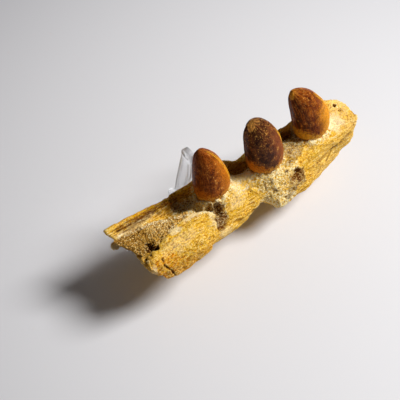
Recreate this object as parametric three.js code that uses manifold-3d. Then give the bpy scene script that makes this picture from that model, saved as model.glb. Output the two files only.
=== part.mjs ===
// A broken length of mosasaur lower jaw with three curved teeth, held tooth-side up
// on a small clear easel. Units are millimetres, +Z up, +X along the jaw from its
// back end to its front end. Sections are written as [across, height] pairs: across
// runs from the straight far rim (0) towards the near side, height is above the floor.
import * as THREE from 'three';
import { mergeVertices } from 'three/addons/utils/BufferGeometryUtils.js';
import Module from 'manifold-3d';

const wasm = await Module();
wasm.setup();

// ---------------------------------------------------------------- driving dimensions

const JAW_LENGTH = 157; // back end to front end along the rim
const SEAT_GAP = 0.3; // clearance between a piece and the pocket that holds it
const RING_STEP = 3.1; // spacing of the sections that the jaw is lofted through
const ROUND_STEPS = 3; // points that each stretch of a jaw section is divided into
const LUMP_SIZE = 7; // width of the low swellings on worn bone
const LUMP_HEIGHT = 0.5;
const GRAIN = { length: 26, width: 2.6, height: 0.45 }; // long ridges along the bone
// A shallow groove along the hidden side, on the surface that lies at across < before.
const INNER_GROOVE = { height: 17, halfWidth: 2.4, depth: 1.5, before: 2 };
const BREAK_ROUGHNESS = 0.9; // depth of the steps on the two broken ends
const BREAK_RINGS = [0.72, 0.4]; // sizes of the rings that close a broken end
const BREAK_LUMPS = { across: 4, height: 3 }; // size of its steps

// Sections of the bone. Each goes once round: far rim outside, rim top, foot of the
// rim's inner wall, two points over the top, shoulder, flank, lower near edge,
// underside, keel, heel and back.
const SECTIONS = [
  { x: 0, ring: [[-1.2, 43.6], [0.4, 45], [3.6, 41.6], [9, 38.4], [16, 38.6], [24, 40.4],
    [26.8, 37], [28, 27], [22, 17.5], [14, 13], [4, 14.5], [-3.4, 28]] },
  { x: 12, ring: [[-1.4, 42.4], [0.4, 43.8], [4.2, 40], [9, 38.8], [16, 39.2], [23.4, 40.2],
    [26.8, 36.6], [29.4, 26.4], [22.6, 15.5], [14, 11.2], [3, 12], [-4.4, 26]] },
  { x: 24, ring: [[-1.4, 41.2], [0.6, 42.8], [4.8, 39.4], [9.5, 39], [15, 40], [21, 41],
    [26.6, 36.8], [30, 26.2], [22.6, 14.6], [13, 10.2], [2.4, 11], [-4.8, 25]] },
  { x: 38, ring: [[-1.2, 39.6], [0.7, 41.2], [4.2, 35.8], [8.2, 35.2], [13, 40.2], [19, 41.2],
    [25.8, 37.4], [30.2, 27.2], [22.6, 14], [12.6, 9.5], [2.2, 10.4], [-5, 24]] },
  { x: 48, ring: [[-1.2, 40], [0.6, 41.6], [4, 35.4], [8.4, 35.2], [13.6, 38.8], [18.6, 39.4],
    [24.8, 36.2], [29, 26.6], [21.6, 13.8], [12.2, 9.3], [2, 10], [-5, 23.5]] },
  { x: 56, ring: [[-1.2, 40.6], [0.6, 42.2], [4, 38.4], [8.8, 40], [14.4, 42.2], [19.2, 39],
    [24.2, 32.8], [28.2, 24.2], [19.6, 13.5], [12, 9.2], [2, 10], [-5, 23.5]] },
  { x: 64, ring: [[-1.2, 41.4], [0.6, 43], [4, 41], [9, 42], [15.6, 43.6], [20.4, 39.2],
    [24.2, 31.6], [27.8, 23.2], [18.6, 13.5], [11.8, 9.1], [2, 10], [-5, 23.5]] },
  { x: 71, ring: [[-1.2, 41.6], [0.6, 43], [4, 40], [9, 41.4], [15, 42.8], [19.8, 38.4],
    [23.6, 31], [27.6, 23], [18, 13.8], [11.6, 9.1], [2, 10], [-5, 23.5]] },
  { x: 77, ring: [[-1.2, 41], [0.6, 42.4], [4.4, 37.6], [8.6, 38.8], [13.2, 40], [18, 36.6],
    [22, 31], [25.6, 25], [17.6, 15], [11.4, 9.6], [2, 10.4], [-5, 23.5]] },
  { x: 86, ring: [[-1.2, 34.4], [0.6, 35.8], [4.4, 34.4], [9, 38], [14, 41.4], [18.6, 39.4],
    [22, 33.4], [24.6, 27.6], [16.4, 18], [11.2, 11.4], [2, 11], [-5, 23]] },
  { x: 93, ring: [[-1.2, 35.4], [0.7, 37], [4, 38.6], [9.3, 41], [16, 42.6], [21.5, 40],
    [26.8, 31.2], [30.4, 20.6], [20, 12.6], [11.6, 9.6], [2, 10], [-5, 23]] },
  { x: 104, ring: [[-1.2, 37.6], [0.6, 39], [4, 39.8], [9.5, 41.4], [16.6, 42.8], [21.8, 38.8],
    [26.4, 29.6], [29, 18.4], [20, 11.6], [11.4, 9], [2, 9.8], [-4.8, 22.5]] },
  { x: 118, ring: [[-1.2, 38.2], [0.6, 39.8], [3.4, 35], [8, 37.4], [14, 38.6], [20, 35.4],
    [24, 27], [26.8, 18.2], [19, 11.8], [11, 9], [2, 9.7], [-4.6, 22]] },
  { x: 132, ring: [[-1.2, 38.8], [0.6, 40.4], [4, 39], [9, 39], [15, 39], [20, 35.8],
    [22.6, 26.4], [24.2, 18.8], [17, 12.2], [10.4, 9.3], [2, 10], [-4.4, 21.5]] },
  { x: 146, ring: [[-1, 42], [0.8, 43.8], [5, 40.6], [9.5, 38.2], [15, 37.2], [19.8, 35.2],
    [21.6, 27.4], [22.4, 20.8], [15, 13.6], [9.4, 10.4], [2, 11], [-3.8, 22]] },
  { x: 157, ring: [[-0.4, 36.2], [1.2, 37.6], [5, 37.8], [10, 37.6], [15.5, 37.2], [20, 36.4],
    [20.8, 30], [20.6, 24.4], [14, 17], [9, 14], [2.6, 14.4], [-2.4, 24]] },
];

// How far each broken end steps in or out, going across from the far rim.
const BACK_END = [[-6, 1.5], [-1, 0.4], [1.5, 0], [3.2, 2.8], [5.4, -0.4], [8.5, 2], [12, 3],
  [17, 5], [22, 7], [25, 5.6], [28, 3.6], [34, 3.6]];
const FRONT_END = [[-6, -3], [-1, -2], [4, -0.6], [8, 1.2], [13, 0.6], [17, 0.9], [21, -2.6],
  [26, -4]];
const BACK_END_SLANT = 0.62; // the back break runs forward below the rim by this much
const FRONT_END_SLANT = 0.4; // and the front break runs backward by this much
const SLANT_FROM = { back: 41, front: 37 }; // heights from which the slants start
const SLANT_REACH = 34; // length of jaw over which a slant dies away

// The plate of bone that stands proud of the near side at the back end.
const PLATE_THICKNESS = 4.6;
const PLATE_HEART = [12, 24]; // its inner face is its outer one drawn in towards here
const PLATE_RINGS = 18;
const PLATE_LUMPS = { size: 5, height: 0.35 };
const PLATE_EDGE_STEPS = { size: 3, depth: 0.5 }; // unevenness of its two end edges
const PLATE = [
  { x: 3.2, face: [[23.6, 41.4], [27.2, 42.4], [30.2, 40.2], [31.8, 33.4], [32.4, 26.6], [30.6, 22]] },
  { x: 12, face: [[21, 41.8], [26, 42.8], [30.4, 39.6], [32.8, 33], [33.4, 26], [31, 21.8]] },
  { x: 22, face: [[18.2, 42.6], [24.8, 42.8], [29.8, 39], [32.6, 33.2], [33.3, 26.6], [31, 22.4]] },
  { x: 32, face: [[16, 42.8], [23.4, 43.2], [29.4, 39.4], [32.8, 33.6], [33.8, 27.4], [31.4, 23.2]] },
  { x: 43, face: [[16.8, 43], [22.6, 43], [28.8, 39.2], [32.6, 34], [33.9, 28.4], [31.6, 24]] },
  { x: 53, face: [[19.4, 41.8], [23.6, 41.4], [28.2, 37.8], [31.4, 33.4], [32.9, 28.6], [30.8, 24.6]] },
];
const PLATE_FRONT_SLANT = 0.72; // its front edge runs backward below the top
// The open crack down the plate: half its width, its depth, its path as [along, height],
// and the outer face that it is cut into as [height, across].
const PLATE_CRACK = {
  halfWidth: 0.7,
  depth: 1.5,
  out: 3,
  path: [[12.6, 39.4], [15.2, 36.6], [16, 32], [19, 26], [20.6, 21]],
  face: [[21, 31.4], [27, 33.4], [33, 33], [39.4, 30.4]],
};

// Sandy rock that fills the trough behind the plate.
const FILL = [
  { x: 0.6, ring: [[5, 40.4], [8.5, 39], [12.5, 38.4], [16.6, 38.6], [20.6, 39.2], [18.4, 34.5],
    [13, 31.5], [7, 35]] },
  { x: 8, ring: [[5, 39.8], [8.5, 39.2], [12.5, 39], [16.6, 39.2], [20.8, 39.8], [18.4, 34],
    [13, 30.5], [7, 34.5]] },
  { x: 18, ring: [[5.8, 39.7], [9.2, 39.8], [12.5, 40], [16, 40.3], [19.4, 41], [17.4, 34.4],
    [13, 30.5], [8, 34.5]] },
  { x: 28, ring: [[8.4, 39.6], [10.8, 40.3], [13, 40.6], [15.4, 41], [17.6, 41.8], [16.2, 35.4],
    [13.4, 31.5], [10, 35.4]] },
  { x: 36, ring: [[10.8, 39.8], [12.3, 40.6], [13.7, 41], [15, 41.2], [16.4, 41.8], [15.4, 36.4],
    [13.8, 33.5], [12, 36.4]] },
  { x: 42, ring: [[12.8, 40], [13.6, 40.4], [14.4, 40.6], [15.2, 40.7], [16, 41], [15.2, 37.6],
    [14.3, 36.4], [13.4, 37.6]] },
];

const FILL_CLEARANCE = 3; // height that its pocket is cut above it
const FILL_OVERCUT = 5; // length by which the pocket runs out past the back end
const FILL_GAP = 0.5; // its own clearance, wider because both faces are rough
const FILL_INSET = 0.6; // how far the rock stands in from the broken bone
const FILL_RINGS = 14;
const FILL_BUMPS = { size: 2.6, height: 0.45 };

// Teeth, from the back of the jaw to the front. lean is how far the tip lies from
// over the middle of the base, and reach is [along the jaw, across it] of the crown.
const TEETH = [
  { name: 'tooth_rear', x: 61.6, across: 9.4, base: 41, height: 34.4, reach: [10.1, 8.6],
    lean: [-6.4, -3.4], point: 0.62, sharp: 2.0, color: 0x7a3210 },
  { name: 'tooth_middle', x: 95, across: 12, base: 40, height: 38, reach: [10.3, 9],
    lean: [-8.8, -2.6], point: 0.7, sharp: 2.7, color: 0x4a2014 },
  { name: 'tooth_front', x: 130.4, across: 9, base: 38.4, height: 38, reach: [10.6, 8.8],
    lean: [-14.6, -3.6], point: 0.66, sharp: 2.5, color: 0x8a4a12 },
];
const ROOT_DEPTH = 6.5; // how far a tooth goes down into its socket
const ROOT_SHRINK = 0.9; // size of the root against the widest part of the crown
const TOOTH_RINGS = 10;
const TOOTH_SIDES = 16;
const KEEL_RIDGE = 0.05; // how far the two cutting ridges stand out of the crown
const KEEL_SHARPNESS = 12;
const CROWN_FLARE = 0.2; // part of the height over which the crown widens from its neck
const CROWN_START = 0.02; // and where it starts, as a part of the height
const TIP_SIZE = 0.06; // bluntness of the tip
const LEAN_CURVE = { along: 1.9, across: 1.5 }; // how late in its height a crown bends

// Hollows: [along, across, height] of the middle and [half length, half width, half
// depth]. in says which piece each one is cut from.
const HOLLOWS = [
  { in: 'bone', at: [44.4, 5.8, 38.8], half: [7.4, 4.4, 6.8] },
  { in: 'bone', at: [49.2, 12.8, 39.6], half: [2.9, 4.4, 5.4] },
  { in: 'bone', at: [52.6, 18, 39], half: [2.8, 3.2, 4.6] },
  { in: 'bone', at: [57, 21.6, 38.8], half: [2.6, 4.4, 5.4] },
  { in: 'bone', at: [82.8, 5.4, 38.5], half: [8, 4.4, 13] },
  { in: 'bone', at: [117.2, 3.4, 38], half: [6, 2.6, 7.5] },
  { in: 'bone', at: [108.4, 27, 33.2], half: [6, 4.8, 5.6] },
  { in: 'bone', at: [103.2, 29.8, 25.6], half: [2.4, 2.6, 2.4] },
  { in: 'bone', at: [107.4, 29.4, 25], half: [1.9, 2.6, 2.6] },
  { in: 'bone', at: [150.2, 4.8, 38.6], half: [1.7, 1.1, 2] },
  { in: 'bone', at: [151.6, 8.4, 38.4], half: [1.3, 1, 1.7] },
  { in: 'bone', at: [16.2, 20.6, 41], half: [2.2, 3.4, 6.2] },
  { in: 'fill', at: [15.4, 18.6, 39.6], half: [1.5, 3.8, 5.4] },
];
const HOLLOW_SIDES = 12;
// A narrow V cut down through the far rim.
const RIM_NOTCH = { x: 41.2, before: 3.8, after: 2.6, bottom: 35.2, top: 44, across: 4 };
// The stub of bone left standing on the back break, below the rim.
const BACK_STUB = { at: [3.5, 5.4, 35.4], half: [3.4, 3, 1.6] };

// The clear easel: a tall upright behind the rim, a low arm further forward, and the
// bar that is slotted through both. Each stands on its straight lower edge and
// carries the keel of the jaw on its rest.
const CARRIERS = [
  { name: 'stand_upright', x: 56.6, rest: 8.4, lip: 10.2, tall: true },
  { name: 'stand_low_arm', x: 108, rest: 8.45, lip: 10.2, tall: false },
];
const STAND_THICKNESS = 2.2;
const STAND_WEB = 0.9; // thickness of the web inside the raised edge
const REST_FRONT = 16.4; // front end of the rests, measured across from the rim
const BACK_LINE = -5.9; // front edge of the backs, behind the bulge of the jaw
const BOSS = { across: -4.7, height: 59.3, radius: 3.9, eye: 2.3, proud: 0.5 };
const BAR = { across: -12.6, height: 6.2, width: 3.4, depth: 3, overhang: 1.4 };
const TALL_BACK = { // its front edge up to the boss and its rear edge down to the floor
  front: [[BACK_LINE, 29], [-2.6, 42]],
  rear: [[-14.4, 30], [-16.8, 15], [-22.6, 9.4], [-22, 0]],
};
const LOW_BACK = { top: [[BACK_LINE, 20], [-7, 24], [-9.6, 22]], foot: [[-12, 12], [-18, 8.6]],
  rear: [[-19.4, 4], [-19.4, 0]] };
const WEB = [[-7.5, 14], [-7.5, 29.4], [-4.4, 42.4], [-3.6, 53.4], [-8.4, 54.6], [-12.9, 30],
  [-15, 15.4], [-13.6, 10.6]];

const BONE = { color: 0xc08a34, roughness: 0.78, metalness: 0 };
const SAND = { color: 0x8c7452, roughness: 0.95, metalness: 0 };
const CLEAR = { color: 0xdcdfe4, roughness: 0.08, metalness: 0 };

// ---------------------------------------------------------------- small helpers

const clamp01 = (t) => Math.min(1, Math.max(0, t));
const smooth = (t) => clamp01(t) ** 2 * (3 - 2 * clamp01(t));

// The value at a place between the points of a [position, value] list.
function between(list, at) {
  const next = list.findIndex(([position]) => position > at);
  if (next === 0) return list[0][1];
  if (next < 0) return list[list.length - 1][1];
  const [from, to] = [list[next - 1], list[next]];
  return THREE.MathUtils.lerp(from[1], to[1], (at - from[0]) / (to[0] - from[0]));
}

// A fixed pattern of numbers from -1 to 1 on a grid, blended smoothly between.
function gridValue(i, j, k) {
  const wave = Math.sin(i * 127.1 + j * 311.7 + k * 74.7) * 43758.5453;
  return 2 * (wave - Math.floor(wave)) - 1;
}

function lumps(x, y, z) {
  const cell = [Math.floor(x), Math.floor(y), Math.floor(z)];
  const [u, v, w] = [smooth(x - cell[0]), smooth(y - cell[1]), smooth(z - cell[2])];
  let sum = 0;
  for (const [i, j, k] of [[0, 0, 0], [1, 0, 0], [0, 1, 0], [1, 1, 0], [0, 0, 1], [1, 0, 1],
    [0, 1, 1], [1, 1, 1]]) {
    const weight = (i ? u : 1 - u) * (j ? v : 1 - v) * (k ? w : 1 - w);
    sum += weight * gridValue(cell[0] + i, cell[1] + j, cell[2] + k);
  }
  return sum;
}

// The pairs of a row of sections at one place along the jaw, on smooth curves through
// the written ones.
function sectionAt(sections, key, x) {
  const last = sections.length - 1;
  let low = 0;
  while (low < last - 1 && sections[low + 1].x < x) low += 1;
  const [a, b] = [sections[low], sections[low + 1]];
  const [before, after] = [sections[Math.max(low - 1, 0)], sections[Math.min(low + 2, last)]];
  const span = b.x - a.x;
  const t = clamp01((x - a.x) / span);
  const slope = (p, q, i, axis) => (q[key][i][axis] - p[key][i][axis]) / (q.x - p.x);
  return a[key].map((pair, i) => [0, 1].map((axis) => {
    const startSlope = slope(before, b, i, axis) * span;
    const endSlope = slope(a, after, i, axis) * span;
    const end = b[key][i][axis];
    return pair[axis] * (2 * t ** 3 - 3 * t ** 2 + 1) + startSlope * (t ** 3 - 2 * t ** 2 + t)
      + end * (3 * t ** 2 - 2 * t ** 3) + endSlope * (t ** 3 - t ** 2);
  }));
}

// A closed smooth outline through [across, height] pairs.
function roundOutline(pairs, steps) {
  const points = pairs.map(([across, height]) => new THREE.Vector3(0, across, height));
  const curve = new THREE.CatmullRomCurve3(points, true, 'centripetal');
  const count = points.length * steps;
  return Array.from({ length: count }, (_, i) => curve.getPoint(i / count));
}

// A closed body through rings of equal length. Point order follows the ring's own
// turn, and each end is closed by a fan.
function loft(rings) {
  const sides = rings[0].length;
  const positions = rings.flat().flatMap((point) => [point.x, point.y, point.z]);
  const ends = [rings[0], rings[rings.length - 1]];
  for (const ring of ends) {
    const middle = ring.reduce((sum, point) => sum.add(point), new THREE.Vector3());
    middle.divideScalar(sides);
    positions.push(middle.x, middle.y, middle.z);
  }
  const faces = [];
  const firstMiddle = rings.length * sides;
  for (let side = 0; side < sides; side += 1) {
    const next = (side + 1) % sides;
    for (let ring = 0; ring < rings.length - 1; ring += 1) {
      const [a, b] = [ring * sides + side, ring * sides + next];
      faces.push(a, b, b + sides, a, b + sides, a + sides);
    }
    const lastRing = (rings.length - 1) * sides;
    faces.push(firstMiddle, next, side);
    faces.push(firstMiddle + 1, lastRing + side, lastRing + next);
  }
  const geometry = new THREE.BufferGeometry();
  geometry.setAttribute('position', new THREE.Float32BufferAttribute(positions, 3));
  geometry.setIndex(faces);
  return geometry;
}

function solidOf(geometry) {
  const bare = geometry.clone();
  bare.deleteAttribute('normal');
  bare.deleteAttribute('uv');
  const merged = mergeVertices(bare, 1e-4);
  return new wasm.Manifold(new wasm.Mesh({
    numProp: 3,
    vertProperties: new Float32Array(merged.attributes.position.array),
    triVerts: new Uint32Array(merged.index.array),
  }));
}

function geometryOf(solid) {
  const mesh = solid.getMesh();
  const geometry = new THREE.BufferGeometry();
  geometry.setAttribute('position', new THREE.BufferAttribute(mesh.vertProperties, 3));
  geometry.setIndex(new THREE.BufferAttribute(mesh.triVerts, 1));
  return geometry;
}

// Across runs towards the near side, which is -Y.
const place = (x, across, height) => new THREE.Vector3(x, -across, height);

function ellipsoid([x, across, height], [length, width, depth]) {
  const geometry = new THREE.SphereGeometry(1, HOLLOW_SIDES, HOLLOW_SIDES / 2 + 2);
  geometry.scale(length, width, depth);
  geometry.translate(x, -across, height);
  return solidOf(geometry);
}

// ---------------------------------------------------------------- jaw bone

// Where a point of a plain section ends up once the two breaks are put in.
function alongJaw(x, across, height) {
  const fromBack = 1 - smooth(x / SLANT_REACH);
  const fromFront = 1 - smooth((JAW_LENGTH - x) / SLANT_REACH);
  const back = between(BACK_END, across) + BACK_END_SLANT * Math.max(0, SLANT_FROM.back - height);
  const front = between(FRONT_END, across)
    - FRONT_END_SLANT * Math.max(0, SLANT_FROM.front - height);
  return x + fromBack * back + fromFront * front;
}

// Rings that close an end, each smaller than the last, with the steps of a break.
function brokenEnd(ring, outward) {
  const middle = ring.reduce((sum, point) => sum.add(point), new THREE.Vector3());
  middle.divideScalar(ring.length);
  return BREAK_RINGS.map((size) => ring.map((point) => {
    const inner = point.clone().lerp(middle, 1 - size);
    const step = lumps(inner.y / BREAK_LUMPS.across, inner.z / BREAK_LUMPS.height, 5 * size);
    inner.x += outward * step * BREAK_ROUGHNESS;
    return inner;
  }));
}

function grooveDepth(height) {
  const { height: middle, halfWidth, depth } = INNER_GROOVE;
  return depth * Math.exp(-(((height - middle) / halfWidth) ** 2));
}

function boneRing(x) {
  const outline = roundOutline(sectionAt(SECTIONS, 'ring', x), ROUND_STEPS);
  const middle = outline.reduce((sum, point) => sum.add(point), new THREE.Vector3());
  middle.divideScalar(outline.length);
  return outline.map(({ y, z }) => {
    const out = new THREE.Vector2(y - middle.y, z - middle.z).normalize();
    const swell = LUMP_HEIGHT * lumps(x / LUMP_SIZE, y / LUMP_SIZE, z / LUMP_SIZE)
      + GRAIN.height * lumps(x / GRAIN.length, y / GRAIN.width, z / GRAIN.width)
      - (y < INNER_GROOVE.before ? grooveDepth(z) : 0);
    const [across, height] = [y + out.x * swell, z + out.y * swell];
    return place(alongJaw(x, across, height), across, height);
  });
}

function boneBlank() {
  const count = Math.round(JAW_LENGTH / RING_STEP);
  const rings = Array.from({ length: count + 1 }, (_, i) => boneRing((i / count) * JAW_LENGTH));
  const back = brokenEnd(rings[0], -1).reverse();
  const front = brokenEnd(rings[count], 1);
  return solidOf(loft([...back, ...rings, ...front]));
}

// The proud plate: its outer face, and the same face drawn in by its thickness.
function plateOutline(x) {
  const face = sectionAt(PLATE, 'face', x);
  const [heartAcross, heartHeight] = PLATE_HEART;
  const inner = face.map(([across, height]) => {
    const away = Math.hypot(across - heartAcross, height - heartHeight);
    const keep = (away - PLATE_THICKNESS) / away;
    return [heartAcross + (across - heartAcross) * keep,
      heartHeight + (height - heartHeight) * keep];
  });
  const swollen = face.map(([across, height]) => {
    const { size, height: most } = PLATE_LUMPS;
    const swell = most * lumps(x / size, across / size, height / size);
    return [across + swell, height + swell];
  });
  return [...swollen, ...inner.reverse()];
}

function boneRaisedPlate() {
  const [first, last] = [PLATE[0].x, PLATE[PLATE.length - 1].x];
  const rings = Array.from({ length: PLATE_RINGS + 1 }, (_, i) => {
    const x = THREE.MathUtils.lerp(first, last, i / PLATE_RINGS);
    const fromFront = 1 - smooth((last - x) / SLANT_REACH);
    return plateOutline(x).map(([across, height]) => {
      const { size, depth } = PLATE_EDGE_STEPS;
      const slant = PLATE_FRONT_SLANT * Math.max(0, SLANT_FROM.back - height) * fromFront;
      const step = depth * lumps(height / size, across / size, 9);
      return place(alongJaw(x, across, height) - slant + step, across, height);
    });
  });
  return solidOf(loft(rings));
}

function plateCrack() {
  const { halfWidth, depth, out, path, face } = PLATE_CRACK;
  const rings = path.map(([along, height]) => {
    const surface = between(face, height);
    return [[-halfWidth, out], [0, -depth], [halfWidth, out]].map(([side, proud]) => (
      place(along + side, surface + proud, height)));
  });
  return solidOf(loft(rings));
}

function rimNotch() {
  const { x, before, after, bottom, top, across } = RIM_NOTCH;
  const wedge = new THREE.Shape([
    new THREE.Vector2(x - before, top),
    new THREE.Vector2(x, bottom),
    new THREE.Vector2(x + after, top),
  ]);
  const geometry = new THREE.ExtrudeGeometry(wedge, { depth: 2 * across, bevelEnabled: false });
  geometry.rotateX(Math.PI / 2);
  geometry.translate(0, across, 0);
  return solidOf(geometry);
}

// ---------------------------------------------------------------- teeth and fill

// One tooth with its root. grow widens it all round, for the socket.
function toothSolid(tooth, grow = 0) {
  const { x, across, base, height, reach, lean, point, sharp } = tooth;
  const middleAt = (t) => {
    const bend = Math.max(t, 0);
    return place(
      x + lean[0] * bend ** LEAN_CURVE.along,
      across + lean[1] * bend ** LEAN_CURVE.across,
      base + height * t,
    );
  };
  const ringAt = (t, size) => {
    const middle = middleAt(t);
    const ahead = middleAt(t + 0.02).sub(middleAt(t - 0.02)).normalize();
    const alongX = new THREE.Vector3(1, 0, 0).projectOnPlane(ahead).normalize();
    const acrossY = new THREE.Vector3().crossVectors(ahead, alongX);
    return Array.from({ length: TOOTH_SIDES }, (_, i) => {
      const turn = (i / TOOTH_SIDES) * 2 * Math.PI;
      const ridge = 1 + KEEL_RIDGE * Math.abs(Math.cos(turn)) ** KEEL_SHARPNESS;
      const length = (reach[0] * size * ridge + grow) * Math.cos(turn);
      const width = (reach[1] * size * ridge + grow) * Math.sin(turn);
      return middle.clone().addScaledVector(alongX, length).addScaledVector(acrossY, width);
    });
  };
  const rings = [ringAt(-(ROOT_DEPTH + grow) / height, ROOT_SHRINK * 0.9)];
  for (let i = 0; i <= TOOTH_RINGS; i += 1) {
    const t = THREE.MathUtils.lerp(CROWN_START, 1, Math.sin((i / TOOTH_RINGS) * Math.PI / 2));
    const swell = THREE.MathUtils.lerp(ROOT_SHRINK, 1, smooth(t / CROWN_FLARE));
    const taper = Math.max(TIP_SIZE, (1 - t ** sharp) ** point);
    rings.push(ringAt(t, swell * taper));
  }
  return solidOf(loft(rings));
}

function fillSolid(grow = 0) {
  const [first, last] = [FILL[0].x, FILL[FILL.length - 1].x];
  const rings = Array.from({ length: FILL_RINGS + 1 }, (_, i) => {
    const x = THREE.MathUtils.lerp(first, last, i / FILL_RINGS);
    const outline = roundOutline(sectionAt(FILL, 'ring', x), 2);
    const middle = outline.reduce((sum, point) => sum.add(point), new THREE.Vector3());
    middle.divideScalar(outline.length);
    return outline.map(({ y, z }) => {
      const out = new THREE.Vector2(y - middle.y, z - middle.z).normalize();
      const onTop = z > middle.z + 1;
      const { size, height: most } = FILL_BUMPS;
      const bumps = onTop ? most * lumps(x / size, y / size, 3) : 0;
      const lift = onTop && grow ? FILL_CLEARANCE : out.y * grow;
      const [across, height] = [y + out.x * grow, z + lift + bumps];
      return place(alongJaw(x, across, height) + FILL_INSET, across, height);
    });
  });
  if (grow) {
    const moved = (ring, by) => ring.map((point) => point.clone().setX(point.x + by));
    rings.unshift(moved(rings[0], -FILL_OVERCUT));
    rings.push(moved(rings[rings.length - 1], grow));
  }
  return solidOf(loft(rings));
}

// ---------------------------------------------------------------- easel

// Side outline of a carrier: rest and lip in front, then either the tall back with its
// rear foot, or a low one.
function carrierOutline({ rest, lip, tall }) {
  const outline = new THREE.Shape();
  outline.moveTo(REST_FRONT, 0);
  outline.lineTo(REST_FRONT + 0.4, lip - 0.8);
  outline.quadraticCurveTo(REST_FRONT, lip + 0.2, REST_FRONT - 1.4, lip - 0.8);
  outline.quadraticCurveTo(REST_FRONT - 3, rest, REST_FRONT - 6, rest);
  outline.lineTo(2.5, rest);
  outline.quadraticCurveTo(-3, rest + 1.5, BACK_LINE, 16);
  if (tall) {
    for (const corner of TALL_BACK.front) outline.lineTo(...corner);
    outline.absarc(BOSS.across, BOSS.height, BOSS.radius, -0.2, Math.PI * 0.97, false);
    for (const corner of TALL_BACK.rear) outline.lineTo(...corner);
  } else {
    outline.lineTo(...LOW_BACK.top[0]);
    outline.quadraticCurveTo(...LOW_BACK.top[1], ...LOW_BACK.top[2]);
    outline.quadraticCurveTo(...LOW_BACK.foot[0], ...LOW_BACK.foot[1]);
    for (const corner of LOW_BACK.rear) outline.lineTo(...corner);
  }
  outline.closePath();
  return outline;
}

// The thin web inside the raised edge of the tall back.
function webOutline() {
  return new THREE.Shape(WEB.map(([across, height]) => new THREE.Vector2(across, height)));
}

// A plate of the given outline standing across the jaw, from x for its thickness.
function standingPlate(outline, thickness, x) {
  const geometry = new THREE.ExtrudeGeometry(outline, {
    depth: thickness, bevelEnabled: false, curveSegments: 5,
  });
  geometry.rotateX(Math.PI / 2);
  geometry.rotateZ(-Math.PI / 2);
  geometry.translate(x + thickness, 0, 0);
  return solidOf(geometry);
}

function disc(radius, thickness, x) {
  const geometry = new THREE.CylinderGeometry(radius, radius, thickness, 24);
  geometry.rotateZ(Math.PI / 2);
  geometry.translate(x, -BOSS.across, BOSS.height);
  return solidOf(geometry);
}

function barSolid(grow = 0) {
  const [near, far] = CARRIERS.map((carrier) => carrier.x);
  const length = far - near + STAND_THICKNESS + 2 * (BAR.overhang + grow);
  const geometry = new THREE.BoxGeometry(length, BAR.width + 2 * grow, BAR.depth + 2 * grow);
  geometry.translate((near + far) / 2, -BAR.across, BAR.height);
  return solidOf(geometry);
}

function carrierSolid(carrier) {
  const { x, tall } = carrier;
  const half = STAND_THICKNESS / 2;
  const plate = standingPlate(carrierOutline(carrier), STAND_THICKNESS, x - half);
  const slotted = plate.subtract(barSolid(SEAT_GAP));
  if (!tall) return slotted;
  const sink = half - STAND_WEB / 2;
  const outside = half + BOSS.proud;
  const eyeDepth = 2 * (outside - STAND_WEB / 2);
  return slotted
    .subtract(standingPlate(webOutline(), 2 * sink, x - half - sink))
    .subtract(standingPlate(webOutline(), 2 * sink, x + half - sink))
    .add(disc(BOSS.radius, 2 * outside, x))
    .subtract(disc(BOSS.eye, eyeDepth, x - outside))
    .subtract(disc(BOSS.eye, eyeDepth, x + outside));
}

// ---------------------------------------------------------------- assembly

function buildBone() {
  let bone = boneBlank().add(ellipsoid(BACK_STUB.at, BACK_STUB.half)).add(boneRaisedPlate());
  bone = bone.subtract(fillSolid(FILL_GAP));
  for (const tooth of TEETH) bone = bone.subtract(toothSolid(tooth, SEAT_GAP));
  for (const hollow of HOLLOWS.filter((entry) => entry.in === 'bone')) {
    bone = bone.subtract(ellipsoid(hollow.at, hollow.half));
  }
  return bone.subtract(plateCrack()).subtract(rimNotch());
}

function buildFill() {
  let fill = fillSolid();
  for (const hollow of HOLLOWS.filter((entry) => entry.in === 'fill')) {
    fill = fill.subtract(ellipsoid(hollow.at, hollow.half));
  }
  return fill;
}

const model = new THREE.Group();

function addPiece(name, solid, look) {
  const mesh = new THREE.Mesh(geometryOf(solid), new THREE.MeshStandardMaterial(look));
  mesh.name = name;
  model.add(mesh);
}

addPiece('jaw_bone', buildBone(), BONE);
addPiece('matrix_fill', buildFill(), SAND);
for (const tooth of TEETH) {
  addPiece(tooth.name, toothSolid(tooth), { color: tooth.color, roughness: 0.3, metalness: 0 });
}
for (const carrier of CARRIERS) addPiece(carrier.name, carrierSolid(carrier), CLEAR);
addPiece('stand_bar', barSolid(), CLEAR);

// The origin is on the floor, under the middle of the whole object.
const box = new THREE.Box3().setFromObject(model);
const middle = box.getCenter(new THREE.Vector3());
model.position.set(-middle.x, -middle.y, -box.min.z);

export default model;
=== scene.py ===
"""Dress a broken length of fossil mosasaur jaw, with three teeth, on its clear easel.

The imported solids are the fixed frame, and every piece made here stands in the place of
one of them. Sizes are millimetres, and places on the fossil are jaw measures: along the
jaw from its back end, across it from the far rim towards the near side, and height
above the floor.
"""
import logging
import math
from abc import ABC, abstractmethod
from collections.abc import Callable
from dataclasses import dataclass, field
from enum import Enum
from typing import ClassVar

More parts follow.
